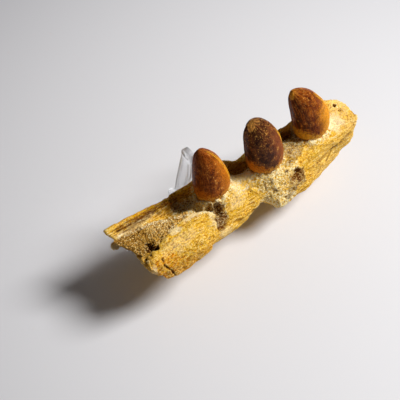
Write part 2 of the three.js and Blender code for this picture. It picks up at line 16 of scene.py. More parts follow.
import bmesh
import bpy
import numpy as np
from bpy.types import (
    ID,
    Mesh,
    Node,
    NodeSocket,
    NodeTree,
    Object,
    bpy_prop_collection,
)
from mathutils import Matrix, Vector


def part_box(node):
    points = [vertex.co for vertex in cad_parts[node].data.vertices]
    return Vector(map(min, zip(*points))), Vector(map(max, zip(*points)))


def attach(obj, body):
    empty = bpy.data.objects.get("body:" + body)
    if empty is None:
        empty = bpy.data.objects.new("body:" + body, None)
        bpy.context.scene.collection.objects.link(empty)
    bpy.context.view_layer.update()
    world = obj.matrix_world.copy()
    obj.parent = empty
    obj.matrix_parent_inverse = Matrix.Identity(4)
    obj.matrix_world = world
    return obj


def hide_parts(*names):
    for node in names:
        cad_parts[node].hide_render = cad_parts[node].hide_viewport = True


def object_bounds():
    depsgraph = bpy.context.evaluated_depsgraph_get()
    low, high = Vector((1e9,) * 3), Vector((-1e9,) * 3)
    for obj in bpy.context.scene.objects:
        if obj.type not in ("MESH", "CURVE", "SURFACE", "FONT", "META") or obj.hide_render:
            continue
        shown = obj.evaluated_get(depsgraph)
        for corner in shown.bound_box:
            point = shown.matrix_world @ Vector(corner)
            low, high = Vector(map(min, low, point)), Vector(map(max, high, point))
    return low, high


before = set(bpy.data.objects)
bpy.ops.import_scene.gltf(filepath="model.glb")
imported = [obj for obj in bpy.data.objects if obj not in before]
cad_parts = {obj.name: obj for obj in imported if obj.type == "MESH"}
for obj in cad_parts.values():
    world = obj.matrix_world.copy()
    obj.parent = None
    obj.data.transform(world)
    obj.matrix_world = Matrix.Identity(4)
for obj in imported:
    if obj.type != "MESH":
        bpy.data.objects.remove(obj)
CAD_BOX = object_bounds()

LOG = logging.getLogger("mosasaur_jaw")
MM = 0.001
Pair = tuple[float, float]
Triple = tuple[float, float, float]
Array = np.ndarray


# ------------------------------------------------------------------ measures and patterns


@dataclass(frozen=True)
class JawFrame:
    """Turns places in the frame into jaw measures in millimetres, and back."""

    back_end: float
    rear_edge: float
    foot_reach: float = 22.6

    @classmethod
    def of_object(cls) -> "JawFrame":
        """Return the measures of the whole object: its back end and its rear edge."""
        low, high = CAD_BOX
        return cls(back_end=low.x / MM, rear_edge=high.y / MM)

    def measures(self, places: Array) -> Array:
        """Return along, across and height of places in the frame.

        Args:
            places: One row for each place, in metres.

        Returns:
            One row for each place, in millimetres.
        """
        spots = places / MM
        along = spots[:, 0] - self.back_end
        across = self.rear_edge - spots[:, 1] - self.foot_reach
        return np.column_stack([along, across, spots[:, 2]])

    def places(self, measures: Array) -> Array:
        """Return places in the frame, in metres, of rows of jaw measures.

        Args:
            measures: One row for each place: along, across and height.

        Returns:
            One row for each place, in metres.
        """
        across = self.rear_edge - self.foot_reach - measures[:, 1]
        return np.column_stack([measures[:, 0] + self.back_end, across, measures[:, 2]]) * MM


def smooth_step(low: float, high: float, value: Array) -> Array:
    """Return 0 below low, 1 above high and a soft rise between them."""
    share = np.clip((value - low) / (high - low), 0.0, 1.0)
    return share * share * (3.0 - 2.0 * share)


class Pattern:
    """Seeded patterns over rows of places, the same on each run."""

    TABLE = 256
    WAVE_GAIN = 1.6
    ROUGH_STEP, ROUGH_SHIFT = 2.03, 17.0
    RIDGE_STEP, RIDGE_SHIFT, RIDGE_START = 2.0, 9.0, 0.66
    BEYOND = 9.0

    def __init__(self, seed: int) -> None:
        """Make the tables of one seed.

        Args:
            seed: What the patterns are drawn from.
        """
        source = np.random.default_rng(seed)
        self.order = source.permutation(self.TABLE)
        slopes = source.normal(size=(self.TABLE, 3))
        self.slopes = slopes / np.linalg.norm(slopes, axis=1, keepdims=True)
        self.spots = source.random((self.TABLE, 3))
        self.shades = source.random(self.TABLE)

    def _entry(self, cell: Array) -> Array:
        """Return the table entry of each cell.

        Args:
            cell: One row of whole numbers for each place.

        Returns:
            One number for each place.
        """
        first = self.order[cell[:, 0] % self.TABLE]
        second = self.order[(first + cell[:, 1]) % self.TABLE]
        return self.order[(second + cell[:, 2]) % self.TABLE]

    def waves(self, places: Array) -> Array:
        """Return a smooth pattern from about -1 to 1, with one wave to each unit.

        Args:
            places: One row for each place.

        Returns:
            One value for each place.
        """
        cell = np.floor(places).astype(int)
        part = places - cell
        fade = part**3 * (part * (part * 6.0 - 15.0) + 10.0)
        total = np.zeros(len(places))
        for corner in np.ndindex(2, 2, 2):
            offset = np.array(corner)
            weight = np.prod(np.where(offset == 1, fade, 1.0 - fade), axis=1)
            slope = self.slopes[self._entry(cell + offset)]
            total += weight * np.einsum("ij,ij->i", slope, part - offset)
        return total * self.WAVE_GAIN

    def rough(self, places: Array, octaves: int = 3, gain: float = 0.5) -> Array:
        """Return waves of several sizes added up, each half the size of the last.

        Args:
            places: One row for each place.
            octaves: How many sizes are added.
            gain: Strength of each size against the one before.

        Returns:
            One value for each place, from about -1 to 1.
        """
        total = np.zeros(len(places))
        strength = 1.0
        for octave in range(octaves):
            shifted = places * self.ROUGH_STEP**octave + self.ROUGH_SHIFT * octave
            total += strength * self.waves(shifted)
            strength *= gain
        return total

    def ridges(self, places: Array, octaves: int = 2) -> Array:
        """Return sharp ridges: about 1 on a crest and 0 between crests.

        Args:
            places: One row for each place.
            octaves: How many sizes are added.

        Returns:
            One value for each place.
        """
        total = np.zeros(len(places))
        strength = self.RIDGE_START
        for octave in range(octaves):
            shifted = places * self.RIDGE_STEP**octave + self.RIDGE_SHIFT * octave
            total += strength * (1.0 - np.abs(self.waves(shifted)))
            strength *= 0.5
        return total

    def cells(self, places: Array) -> tuple[Array, Array, Array]:
        """Return what a packing of uneven cells gives at each place.

        Args:
            places: One row for each place, with about one cell to each unit cube.

        Returns:
            Distance to the nearest cell's middle, the same to the second nearest, and a
            random share for the nearest cell.
        """
        home = np.floor(places).astype(int)
        nearest = np.full(len(places), self.BEYOND)
        second = np.full(len(places), self.BEYOND)
        shade = np.zeros(len(places))
        for step in np.ndindex(3, 3, 3):
            cell = home + np.array(step) - 1
            entry = self._entry(cell)
            distance = np.linalg.norm(cell + self.spots[entry] - places, axis=1)
            closer = distance < nearest
            second = np.where(closer, nearest, np.minimum(second, distance))
            shade = np.where(closer, self.shades[entry], shade)
            nearest = np.where(closer, distance, nearest)
        return nearest, second, shade


# ------------------------------------------------------------------ mesh helpers


def rows_of(items: bpy_prop_collection, name: str, width: int) -> Array:
    """Return one property of every vertex as rows of numbers.

    Args:
        items: The vertices.
        name: Name of the property.
        width: How many numbers it has.

    Returns:
        One row for each vertex.
    """
    flat = np.empty(len(items) * width, np.float64)
    items.foreach_get(name, flat)
    return flat.reshape(-1, width)


def mesh_points(mesh: Mesh) -> Array:
    """Return the vertices of a mesh as rows."""
    return rows_of(mesh.vertices, "co", 3)


def mesh_normals(mesh: Mesh) -> Array:
    """Return the vertex normals of a mesh as rows."""
    return rows_of(mesh.vertices, "normal", 3)


def mesh_edges(mesh: Mesh) -> Array:
    """Return the two vertex numbers of each edge as rows.

    Args:
        mesh: The mesh.

    Returns:
        One row for each edge.
    """
    flat = np.empty(len(mesh.edges) * 2, np.int64)
    mesh.edges.foreach_get("vertices", flat)
    return flat.reshape(-1, 2)


def set_points(mesh: Mesh, points: Array) -> None:
    """Move the vertices of a mesh to new places."""
    mesh.vertices.foreach_set("co", points.astype(np.float32).ravel())
    mesh.update()


def set_mask(mesh: Mesh, name: str, values: Array) -> None:
    """Write one share for each vertex as a named attribute."""
    layer = mesh.attributes.get(name) or mesh.attributes.new(name, "FLOAT", "POINT")
    layer.data.foreach_set("value", values.astype(np.float32))


def mask_values(mesh: Mesh, name: str) -> Array:
    """Return a named attribute as one share for each vertex.

    Args:
        mesh: The mesh.
        name: Name of the attribute.

    Returns:
        One value for each vertex.
    """
    values = np.empty(len(mesh.vertices), np.float32)
    mesh.attributes[name].data.foreach_get("value", values)
    return values


def neighbour_mean(points: Array, edges: Array, degree: Array) -> Array:
    """Return the mean of each vertex's neighbours.

    Args:
        points: One row for each vertex.
        edges: Pairs of vertex numbers.
        degree: How many neighbours each vertex has.

    Returns:
        One row for each vertex.
    """
    count = len(points)
    total = np.empty_like(points)
    for axis in range(points.shape[1]):
        from_first = np.bincount(edges[:, 0], weights=points[edges[:, 1], axis], minlength=count)
        from_second = np.bincount(edges[:, 1], weights=points[edges[:, 0], axis], minlength=count)
        total[:, axis] = from_first + from_second
    return total / degree[:, None]


MOVE_IN, MOVE_OUT = 0.5, 0.52


def relaxed(points: Array, edges: Array, rounds: int, keep_size: bool) -> Array:
    """Return points smoothed over their neighbours.

    Args:
        points: One row for each vertex.
        edges: Pairs of vertex numbers.
        rounds: How many times each vertex moves towards its neighbours.
        keep_size: Whether each move in is followed by a move out, against shrinking.

    Returns:
        The smoothed points.
    """
    degree = np.maximum(np.bincount(edges.ravel(), minlength=len(points)), 1)
    moved = points.copy()
    for _ in range(rounds):
        moved += MOVE_IN * (neighbour_mean(moved, edges, degree) - moved)
        if keep_size:
            moved -= MOVE_OUT * (neighbour_mean(moved, edges, degree) - moved)
    return moved


def soften(mesh: Mesh, rounds: int, keep_size: bool) -> None:
    """Smooth a mesh over its own edges."""
    set_points(mesh, relaxed(mesh_points(mesh), mesh_edges(mesh), rounds, keep_size))


def new_piece(name: str, data: ID) -> Object:
    """Return a new object of a mesh, light or camera, linked to the scene.

    Args:
        name: Name of the object.
        data: What it shows.

    Returns:
        The object.
    """
    piece = bpy.data.objects.new(name, data)
    bpy.context.scene.collection.objects.link(piece)
    return piece


def apply_modifiers(piece: Object) -> None:
    """Replace a piece's mesh by what its modifiers make of it, and take them off.

    Args:
        piece: The piece.
    """
    graph = bpy.context.evaluated_depsgraph_get()
    made = bpy.data.meshes.new_from_object(
        piece.evaluated_get(graph), preserve_all_data_layers=True, depsgraph=graph
    )
    piece.modifiers.clear()
    spent = piece.data
    piece.data = made
    bpy.data.meshes.remove(spent)
    made.name = piece.name


def coat(mesh: Mesh, finish: "Finish") -> None:
    """Cover a whole mesh with one finish."""
    mesh.materials.clear()
    mesh.materials.append(finish.material)


def enter(piece: Object, node: str = "") -> None:
    """Give a piece its place in the frame.

    Args:
        piece: The piece.
        node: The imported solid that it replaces, if it replaces one.
    """
    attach(piece, "root")
    if node:
        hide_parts(node)


WELD_GAP = 0.004


def merged_copy(node: str, name: str) -> Object:
    """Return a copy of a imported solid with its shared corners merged.

    Args:
        node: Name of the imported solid.
        name: Name of the new piece.

    Returns:
        The new piece.
    """
    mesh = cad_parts[node].data.copy()
    mesh.materials.clear()
    shell = bmesh.new()
    shell.from_mesh(mesh)
    bmesh.ops.remove_doubles(shell, verts=shell.verts, dist=WELD_GAP * MM)
    shell.to_mesh(mesh)
    shell.free()
    return new_piece(name, mesh)


def voxel_copy(node: str, name: str, voxel: float) -> Object:
    """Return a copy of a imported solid, rebuilt from small even faces.

    Args:
        node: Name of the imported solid.
        name: Name of the new piece.
        voxel: Size of its faces in millimetres.

    Returns:
        The new piece.
    """
    piece = merged_copy(node, name)
    remesh = piece.modifiers.new("even_faces", "REMESH")
    remesh.mode = "VOXEL"
    remesh.voxel_size = voxel * MM
    remesh.use_smooth_shade = True
    apply_modifiers(piece)
    return piece


def grid_mesh(name: str, rings: Array) -> Mesh:
    """Return a closed body through rings of points, its two ends closed by fans.

    Args:
        name: Name of the mesh.
        rings: Rings by points by three, in metres, the ring turning so that faces
            point outwards from bottom to top.

    Returns:
        The mesh.
    """
    count, sides = rings.shape[:2]
    middles = [rings[0].mean(0)[None], rings[-1].mean(0)[None]]
    points = np.concatenate([rings.reshape(-1, 3), *middles])
    low, high = count * sides, count * sides + 1
    faces = []
    for ring in range(count - 1):
        for side in range(sides):
            after = (side + 1) % sides
            start = ring * sides
            faces.append((start + side, start + after, start + sides + after, start + sides + side))
    top = (count - 1) * sides
    for side in range(sides):
        after = (side + 1) % sides
        faces.append((low, after, side))
        faces.append((high, top + side, top + after))
    mesh = bpy.data.meshes.new(name)
    mesh.from_pydata([tuple(point) for point in points], [], faces)
    mesh.shade_smooth()
    mesh.update()
    return mesh


# ------------------------------------------------------------------ shader building


class Wiring:
    """Short hand for the nodes of one tree."""

    def __init__(self, tree: NodeTree) -> None:
        """Start on a tree, with its own nodes kept."""
        self.tree = tree

    def node(
        self, kind: str, sources: dict[str | int, object] | None = None, **settings: object
    ) -> Node:
        """Return a new node with some of its settings made and its inputs fed.

        Args:
            kind: The node's type.
            sources: A socket or a plain value for each input, by its name or number.
            settings: Value of each setting.

        Returns:
            The node.
        """
        made = self.tree.nodes.new(kind)
        for key, value in settings.items():
            setattr(made, key, value)
        for key, source in (sources or {}).items():
            self.feed(made.inputs[key], source)
        return made

    def feed(self, socket: NodeSocket, source: object) -> None:
        """Link a socket to another, or set it to a plain value.

        Args:
            socket: The input to feed.
            source: Another node's output, or a plain value.
        """
        if isinstance(source, NodeSocket):
            self.tree.links.new(source, socket)
        else:
            socket.default_value = source


class Shades(Wiring):
    """Short hand for the nodes of one shader tree."""

    def mask(self, name: str) -> NodeSocket:
        """Return the value of a named attribute of the surface."""
        return self.node("ShaderNodeAttribute", attribute_name=name).outputs["Fac"]

    def vector(self, name: str) -> NodeSocket:
        """Return a named vector attribute of the surface."""
        return self.node("ShaderNodeAttribute", attribute_name=name).outputs["Vector"]

    def millimetres(self) -> NodeSocket:
        """Return object coordinates in millimetres."""
        coordinates = self.node("ShaderNodeTexCoord").outputs["Object"]
        return self.scaled(coordinates, (1.0 / MM,) * 3)

    def scaled(self, source: NodeSocket, stretch: Triple) -> NodeSocket:
        """Return coordinates scaled along each axis."""
        return self.node("ShaderNodeMapping", {"Vector": source, "Scale": stretch}).outputs[0]

    def noise(
        self,
        where: NodeSocket,
        scale: object,
        detail: float = 3.0,
        roughness: float = 0.55,
    ) -> NodeSocket:
        """Return cloudy noise from 0 to 1."""
        sources = {"Vector": where, "Scale": scale, "Detail": detail, "Roughness": roughness}
        return self.node("ShaderNodeTexNoise", sources).outputs["Fac"]

    def bent(self, where: NodeSocket, scale: float, reach: float) -> NodeSocket:
        """Return coordinates pushed about by noise, so that a pattern on them wanders.

        Args:
            where: The coordinates.
            scale: How close the bends are.
            reach: How far they push.

        Returns:
            The new coordinates.
        """
        sources = {"Vector": where, "Scale": scale, "Detail": 2.0}
        push = self.node("ShaderNodeTexNoise", sources).outputs["Color"]
        middle = self.vector_math("SUBTRACT", {0: push, 1: (0.5, 0.5, 0.5)})
        sized = self.vector_math("SCALE", {0: middle, "Scale": reach})
        return self.vector_math("ADD", {0: where, 1: sized})

    def vector_math(self, kind: str, sources: dict[str | int, object]) -> NodeSocket:
        """Return the result of one operation on vectors."""
        return self.node("ShaderNodeVectorMath", sources, operation=kind).outputs[0]

    def math(self, kind: str, first: object, second: object) -> NodeSocket:
        """Return the result of one operation on two values."""
        return self.node("ShaderNodeMath", {0: first, 1: second}, operation=kind).outputs[0]

    def times(self, first: object, second: object) -> NodeSocket:
        """Return two values multiplied."""
        return self.math("MULTIPLY", first, second)

    def total(self, parts: list[tuple[object, float]], start: float) -> NodeSocket:
        """Return several values, each times its weight, added to a start.

        Args:
            parts: Each value and its weight.
            start: What they are added to.

        Returns:
            The total.
        """
        value: object = start
        for part, weight in parts:
            value = self.math("ADD", self.times(part, weight), value)
        return value

    def span(self, value: object, low: float, high: float) -> NodeSocket:
        """Return a value remapped so that low gives 0 and high gives 1, clamped."""
        sources = {"Value": value, "From Min": low, "From Max": high}
        return self.node("ShaderNodeMapRange", sources, clamp=True).outputs["Result"]

    def ramp(self, value: object, stops: list[tuple[float, Triple]]) -> NodeSocket:
        """Return the colour of a value on a row of colour stops.

        Args:
            value: The value.
            stops: Position and display colour of each stop.

        Returns:
            The colour.
        """
        made = self.node("ShaderNodeValToRGB", {"Fac": value})
        elements = made.color_ramp.elements
        while len(elements) < len(stops):
            elements.new(0.5)
        for element, (position, colour) in zip(elements, stops):
            element.position = position
            element.color = self.colour(colour)
        return made.outputs["Color"]

    def mix(self, share: object, first: object, second: object, blend: str = "MIX") -> NodeSocket:
        """Return two colours blended, where a share of 1 gives the blend in full.

        Args:
            share: How much of the blend shows.
            first: The colour below.
            second: The colour laid on it.
            blend: How they are blended.

        Returns:
            The colour.
        """
        sources = {"Factor": share, 6: self.colour(first), 7: self.colour(second)}
        made = self.node("ShaderNodeMix", sources, data_type="RGBA", blend_type=blend)
        return made.outputs[2]

    @staticmethod
    def colour(value: object) -> object:
        """Return a display colour as a linear one, and leave a socket as it is.

        Args:
            value: A display colour or a socket.

        Returns:
            What a colour input takes.
        """
        if isinstance(value, NodeSocket):
            return value
        return (*linear(value), 1.0)

    def bump(self, height: object, distance: float) -> NodeSocket:
        """Return the normal of a surface with this height put on it."""
        sources = {"Strength": 1.0, "Distance": distance * MM, "Height": height}
        return self.node("ShaderNodeBump", sources).outputs["Normal"]


def linear(colour: Triple) -> Triple:
    """Return a display colour, written from 0 to 255, as linear light.

    Args:
        colour: The display colour.

    Returns:
        The same colour, with each channel from 0 to 1.
    """
    shares = [channel / 255.0 for channel in colour]
    return tuple(
        share / 12.92 if share <= 0.04045 else ((share + 0.055) / 1.055) ** 2.4 for share in shares
    )


FLOAT = "NodeSocketFloat"
VECTOR = "NodeSocketVector"
SocketRows = dict[str, tuple[str, object]]


def add_inputs(tree: NodeTree, inputs: SocketRows) -> dict[str, str]:
    """Give a node group its named inputs.

    Args:
        tree: The group.
        inputs: Socket kind and starting value of each input.

    Returns:
        The identifier of each input.
    """
    identifiers = {}
    for label, (kind, value) in inputs.items():
        socket = tree.interface.new_socket(name=label, in_out="INPUT", socket_type=kind)
        if value is not None:
            socket.default_value = value
        identifiers[label] = socket.identifier
    return identifiers


def shader_group(
    name: str, inputs: SocketRows, outputs: tuple[str, ...]
) -> tuple[NodeTree, Shades, dict[str, object], dict[str, object]]:
    """Start a shader node group.

    Args:
        name: Name of the group.
        inputs: Socket kind and starting value of each input.
        outputs: Name of each output, a plain value.

    Returns:
        The group, a helper on it, its input sockets and its output sockets.
    """
    tree = bpy.data.node_groups.new(name, "ShaderNodeTree")
    add_inputs(tree, inputs)
    for label in outputs:
        tree.interface.new_socket(name=label, in_out="OUTPUT", socket_type=FLOAT)
    start = tree.nodes.new("NodeGroupInput")
    end = tree.nodes.new("NodeGroupOutput")
    return tree, Shades(tree), dict(start.outputs.items()), dict(end.inputs.items())


class SharedEffects:
    """The shader groups that more than one finish uses."""

    def __init__(self) -> None:
        """Build each group once."""
        self.streaks = self._streaks()
        self.speckle = self._speckle()
        self.web = self._web()

    @staticmethod
    def _streaks() -> NodeTree:
        """Make long fine streaks that follow the first axis of a vector.

        Returns:
            The shader group.
        """
        tree, make, start, end = shader_group(
            "long_streaks",
            {"Vector": (VECTOR, None), "Length": (FLOAT, 14.0), "Width": (FLOAT, 1.0)},
            ("Value",),
        )
        axes = make.node("ShaderNodeSeparateXYZ", {0: start["Vector"]}).outputs
        sizes = (start["Length"], start["Width"], start["Width"])
        drawn = {
            number: make.math("DIVIDE", axes[number], size) for number, size in enumerate(sizes)
        }
        where = make.node("ShaderNodeCombineXYZ", drawn).outputs[0]
        make.feed(end["Value"], make.span(make.noise(where, 1.0, 3.0, 0.6), 0.28, 0.72))
        return tree

    @staticmethod
    def _speckle() -> NodeTree:
        """Make sand: uneven grains, each with its own shade, and their height.

        Returns:
            The shader group.
        """
        tree, make, start, end = shader_group(
            "sandy_speckle", {"Vector": (VECTOR, None), "Grain": (FLOAT, 1.0)}, ("Shade", "Height")
        )
        scale = make.math("DIVIDE", 1.0, start["Grain"])
        where = {"Vector": start["Vector"], "Scale": scale}
        cells = make.node("ShaderNodeTexVoronoi", where)
        tone = make.node("ShaderNodeSeparateColor", {0: cells.outputs["Color"]}).outputs[0]
        dust = make.noise(start["Vector"], make.times(scale, 0.8), 2.0)
        make.feed(end["Shade"], make.total([(dust, 0.38), (tone, 0.62)], 0.0))
        make.feed(end["Height"], make.math("SUBTRACT", 1.0, cells.outputs["Distance"]))
        return tree

    @staticmethod
    def _web() -> NodeTree:
        """Make a web of fine strands: 1 on a strand and 0 in the holes between.

        Returns:
            The shader group.
        """
        tree, make, start, end = shader_group(
            "strand_web", {"Vector": (VECTOR, None), "Hole": (FLOAT, 1.0)}, ("Value",)
        )
        scale = make.math("DIVIDE", 1.0, start["Hole"])
        strands = []
        for share, finer in ((0.62, 1.0), (0.38, 1.9)):
            where = {"Vector": start["Vector"], "Scale": make.times(scale, finer)}
            cells = make.node("ShaderNodeTexVoronoi", where, feature="DISTANCE_TO_EDGE")
            strands.append((make.span(cells.outputs["Distance"], 0.3, 0.04), share))
        make.feed(end["Value"], make.total(strands, 0.0))
        return tree


class Finish:
    """A material with one Principled shader and a helper on its nodes."""

    def __init__(self, name: str) -> None:
        """Start the material.

        Args:
            name: Name of the material.
        """
        self.material = bpy.data.materials.new(name)
        self.material.use_nodes = True
        tree = self.material.node_tree
        self.make = Shades(tree)
        self.shader = next(node for node in tree.nodes if node.type == "BSDF_PRINCIPLED")
        self.output = next(node for node in tree.nodes if node.type == "OUTPUT_MATERIAL")

    def constant(self, **values: object) -> None:
        """Set plain values on the shader, with _ for each space in a socket's name."""
        for key, value in values.items():
            self.shader.inputs[key.replace("_", " ")].default_value = value

    def group(self, tree: NodeTree, **sources: object) -> bpy_prop_collection:
        """Place a shared group, feed its inputs and return its outputs."""
        return self.make.node("ShaderNodeGroup", sources, node_tree=tree).outputs


# ------------------------------------------------------------------ what the bone is marked with


class Mark(Enum):
    """What a patch of the surface is marked with."""

    SAND = "sand"
    SPONGE = "sponge"
    CREAM = "cream"
    AMBER = "amber"
    STAIN = "stain"
    PITTED = "pitted"
    GRIT = "grit"
    GOLD = "gold"


Shares = dict[Mark, Array]


# ------------------------------------------------------------------ finishes


@dataclass(frozen=True)
class BoneColours:
    """Display colours of the bone, from its deepest hollow to its palest crest, the relief steering
    part of the way as painted shade and painted highlight.
    """

    hollow: Triple = (58, 30, 6)
    brown: Triple = (146, 86, 12)
    ochre: Triple = (208, 142, 18)
    gold: Triple = (238, 182, 48)
    straw: Triple = (250, 208, 96)
    cream: Triple = (255, 242, 200)
    dust: Triple = (255, 230, 150)
    amber: Triple = (232, 180, 76)
    yellow: Triple = (244, 186, 12)
    stain: Triple = (104, 66, 14)
    dirt: Triple = (168, 116, 54)
    strand: Triple = (255, 226, 134)
    mesh: Triple = (238, 176, 54)
    hole: Triple = (92, 46, 5)


@dataclass(frozen=True)
class SandColours:
    """Display colours of the sandy rock, and of the loose grains on it."""

    gap: Triple = (46, 24, 4)
    dark: Triple = (126, 80, 18)
    tan: Triple = (200, 146, 50)
    light: Triple = (232, 184, 82)
    grain: Triple = (255, 236, 172)


GOLDEN_GRAINS = SandColours(
    dark=(158, 108, 40), tan=(214, 168, 84), light=(240, 208, 132), grain=(254, 240, 194)
)


class FossilFinish(Finish):
    """Bone that passes into sandy rock, stained in some hollows, with painted shade in its hollows
    and painted highlight on its crests.
    """

    WANDER = (0.35, 1.6)
    SWEEP = (0.07, 5.0)
    STREAK = {"Length": 16.0, "Width": 1.1}
    THREAD = {"Length": 7.0, "Width": 0.5}
    WEB_HOLE = 1.6
    SAND_GRAIN = 0.55
    FLECK_DRAW = (0.45, 1.0, 1.0)
    DUST_DRAW = (0.6, 1.0, 1.0)
    BUMP_DEPTH = 0.34
    GLOSS = 0.08

    def __init__(self, effects: SharedEffects, bone: BoneColours, sand: SandColours) -> None:
        """Build the material from its colours.

        Args:
            effects: The shared shader groups.
            bone: Colours of the bone.
            sand: Colours of the rock.
        """
        super().__init__("fossil_bone")
        make = self.make
        self.where = make.millimetres()
        bent = make.bent(self.where, *self.WANDER)
        swept = make.bent(self.where, *self.SWEEP)
        # The relief mask follows the carved curvature; mixed into colour it paints shade into
        # hollows and highlight onto crests.
        self.relief = make.mask("relief")
        self.streaks = self.group(effects.streaks, Vector=swept, **self.STREAK)[0]
        self.threads = self.group(effects.streaks, Vector=swept, **self.THREAD)[0]
        self.web = self.group(effects.web, Vector=bent, Hole=self.WEB_HOLE)[0]
        self.mottle = make.noise(self.where, 0.42, 4.0, 0.65)
        self.fine = make.noise(self.where, 1.3, 3.0, 0.75)
        self.drawn = make.scaled(bent, self.FLECK_DRAW)
        self.flecks = make.span(make.noise(self.drawn, 1.1, 2.0, 0.6), 0.38, 0.62)
        self.speckle = self.group(effects.speckle, Vector=self.where, Grain=self.SAND_GRAIN)
        colour = self._bone(bone)
        spongy = make.span(self._ragged(Mark.SPONGE), 0.36, 0.64)
        colour = make.mix(spongy, colour, self._web(bone))
        sandy = make.span(self._ragged(Mark.SAND), 0.38, 0.62)
        colour = make.mix(sandy, colour, self._sand(sand))
        make.feed(self.shader.inputs["Base Color"], self._weathered(colour, bone))
        height = make.total(
            [
                (self.fine, 0.7),
                (self.speckle["Height"], 0.4),
                (self.threads, 0.4),
                (self.web, 0.5),
            ],
            0.0,
        )
        make.feed(self.shader.inputs["Normal"], make.bump(height, self.BUMP_DEPTH))
        make.feed(self.shader.inputs["Roughness"], make.total([(self.fine, 0.25)], 0.6))
        self.constant(Specular_IOR_Level=self.GLOSS)

    def _mark(self, mark: Mark) -> NodeSocket:
        """Return the share of one mark."""
        return self.make.mask(mark.value)

    def _ragged(self, mark: Mark) -> NodeSocket:
        """Return the share of one mark with a ragged edge."""
        return self.make.total([(self._mark(mark), 1.0), (self.fine, 0.5)], -0.25)

    def _bone(self, bone: BoneColours) -> NodeSocket:
        """Return the colour of bone: long grained, pitted, and amber where it is clear.

        Args:
            bone: Colours of the bone.

        Returns:
            The colour.
        """
        make = self.make
        # Painted shade and highlight: relief darkens the tone in hollows and lightens it on crests.
        grained = make.total(
            [
                (self.relief, 0.4),
                (self.threads, 0.6),
                (self.streaks, 0.36),
                (self.mottle, 0.16),
                (self.fine, 0.14),
            ],
            -0.3,
        )
        pitted = make.total(
            [
                (self.relief, 0.46),
                (self.flecks, 0.42),
                (self.threads, 0.34),
                (self.mottle, 0.3),
                (self.fine, 0.6),
            ],
            -0.5,
        )
        sources = {0: self._mark(Mark.PITTED), 2: grained, 3: pitted}
        tone = make.node("ShaderNodeMix", sources, data_type="FLOAT").outputs[0]
        stops = [
            (0.0, bone.hollow),
            (0.2, bone.brown),
            (0.38, bone.ochre),
            (0.54, bone.gold),
            (0.72, bone.straw),
            (0.92, bone.cream),
        ]
        amber = make.times(self._mark(Mark.AMBER), make.span(self.mottle, 0.36, 0.56))
        return make.mix(amber, make.ramp(tone, stops), bone.amber, "MULTIPLY")

    def _web(self, bone: BoneColours) -> NodeSocket:
        """Return the colour of spongy bone: a pale web over dark holes.

        Args:
            bone: Colours of the bone.

        Returns:
            The colour.
        """
        # Painted shade and highlight: relief darkens the holes and lightens the strands' tops.
        parts = [(self.web, 0.8), (self.relief, 0.4), (self.fine, 0.5), (self.mottle, 0.2)]
        stops = [(0.1, bone.hole), (0.46, bone.mesh), (0.78, bone.strand), (1.0, bone.cream)]
        return self.make.ramp(self.make.total(parts, -0.3), stops)

    def _sand(self, sand: SandColours) -> NodeSocket:
        """Return the colour of sandy rock.

        Args:
            sand: Colours of the rock.

        Returns:
            The colour.
        """
        # Painted shade: relief darkens the gaps between grains, and lightens their tops as painted
        # highlight.
        parts = [
            (self.relief, 0.6),
            (self.speckle["Shade"], 0.6),
            (self.mottle, 0.25),
            (self.fine, 0.2),
        ]
        stops = [
            (0.0, sand.gap),
            (0.24, sand.dark),
            (0.46, sand.tan),
            (0.7, sand.light),
            (0.95, sand.grain),
        ]
        return self.make.ramp(self.make.total(parts, -0.36), stops)

    def _weathered(self, colour: NodeSocket, bone: BoneColours) -> NodeSocket:
        """Return a colour with its pale and golden patches, dirt, dust and stains.

        Args:
            colour: The clean colour.
            bone: Colours of the bone.

        Returns:
            The weathered colour.
        """
        make = self.make
        pale = make.times(self._mark(Mark.CREAM), make.span(self.fine, 0.2, 0.62))
        colour = make.mix(pale, colour, bone.cream)
        golden = make.times(self._mark(Mark.GOLD), make.span(self.flecks, 0.25, 0.6))
        colour = make.mix(golden, colour, bone.yellow)
        dirt = make.span(make.noise(self.drawn, 1.7, 2.0, 0.7), 0.54, 0.64)
        dirt = make.times(dirt, make.total([(self._mark(Mark.CREAM), -0.5)], 0.6))
        colour = make.mix(dirt, colour, bone.dirt, "MULTIPLY")
        dust = make.noise(make.scaled(self.where, self.DUST_DRAW), 1.9, 2.0, 0.7)
        dusty = make.total([(self._mark(Mark.SPONGE), -0.4)], 0.62)
        colour = make.mix(make.times(make.span(dust, 0.56, 0.63), dusty), colour, bone.dust)
        strands = make.times(self.web, self._mark(Mark.SPONGE))
        patchy = make.total([(strands, -0.3), (self.threads, -0.5), (self.flecks, -0.5)], 1.62)
        stained = make.times(self._mark(Mark.STAIN), patchy)
        return make.mix(stained, colour, bone.stain, "MULTIPLY")


class GrainFinish(Finish):
    """Loose grains, each of its own shade."""

    def __init__(self, name: str, colours: SandColours) -> None:
        """Build the material from the colours of its grains.

        Args:
            name: Name of the material.
            colours: Colours of the grains.
        """
        super().__init__(name)
        make = self.make
        stops = [
            (0.0, colours.dark),
            (0.35, colours.tan),
            (0.7, colours.light),
            (0.97, colours.grain),
        ]
        make.feed(self.shader.inputs["Base Color"], make.ramp(make.mask("shade"), stops))
        fine = make.noise(make.millimetres(), 3.0, 2.0)
        make.feed(self.shader.inputs["Normal"], make.bump(fine, 0.1))
        self.constant(Roughness=0.8, Specular_IOR_Level=0.2)


@dataclass(frozen=True)
class EnamelColours:
    """Display colours of one crown; lit is partly painted light on the side towards the lamp, and
    streak also paints its shaded side.
    """

    body: Triple
    streak: Triple
    pale: Triple
    lit: Triple
    neck: Triple
    tip: Triple
    streaky: float = 0.16
    shading: float = 0.35
    speck_and_glint_share: float = 0.2
    speck_and_glint: Triple = (240, 176, 84)
    keel: Triple = (250, 184, 48)
    vein: Triple = (190, 118, 52)
    crust: Triple = (236, 176, 66)


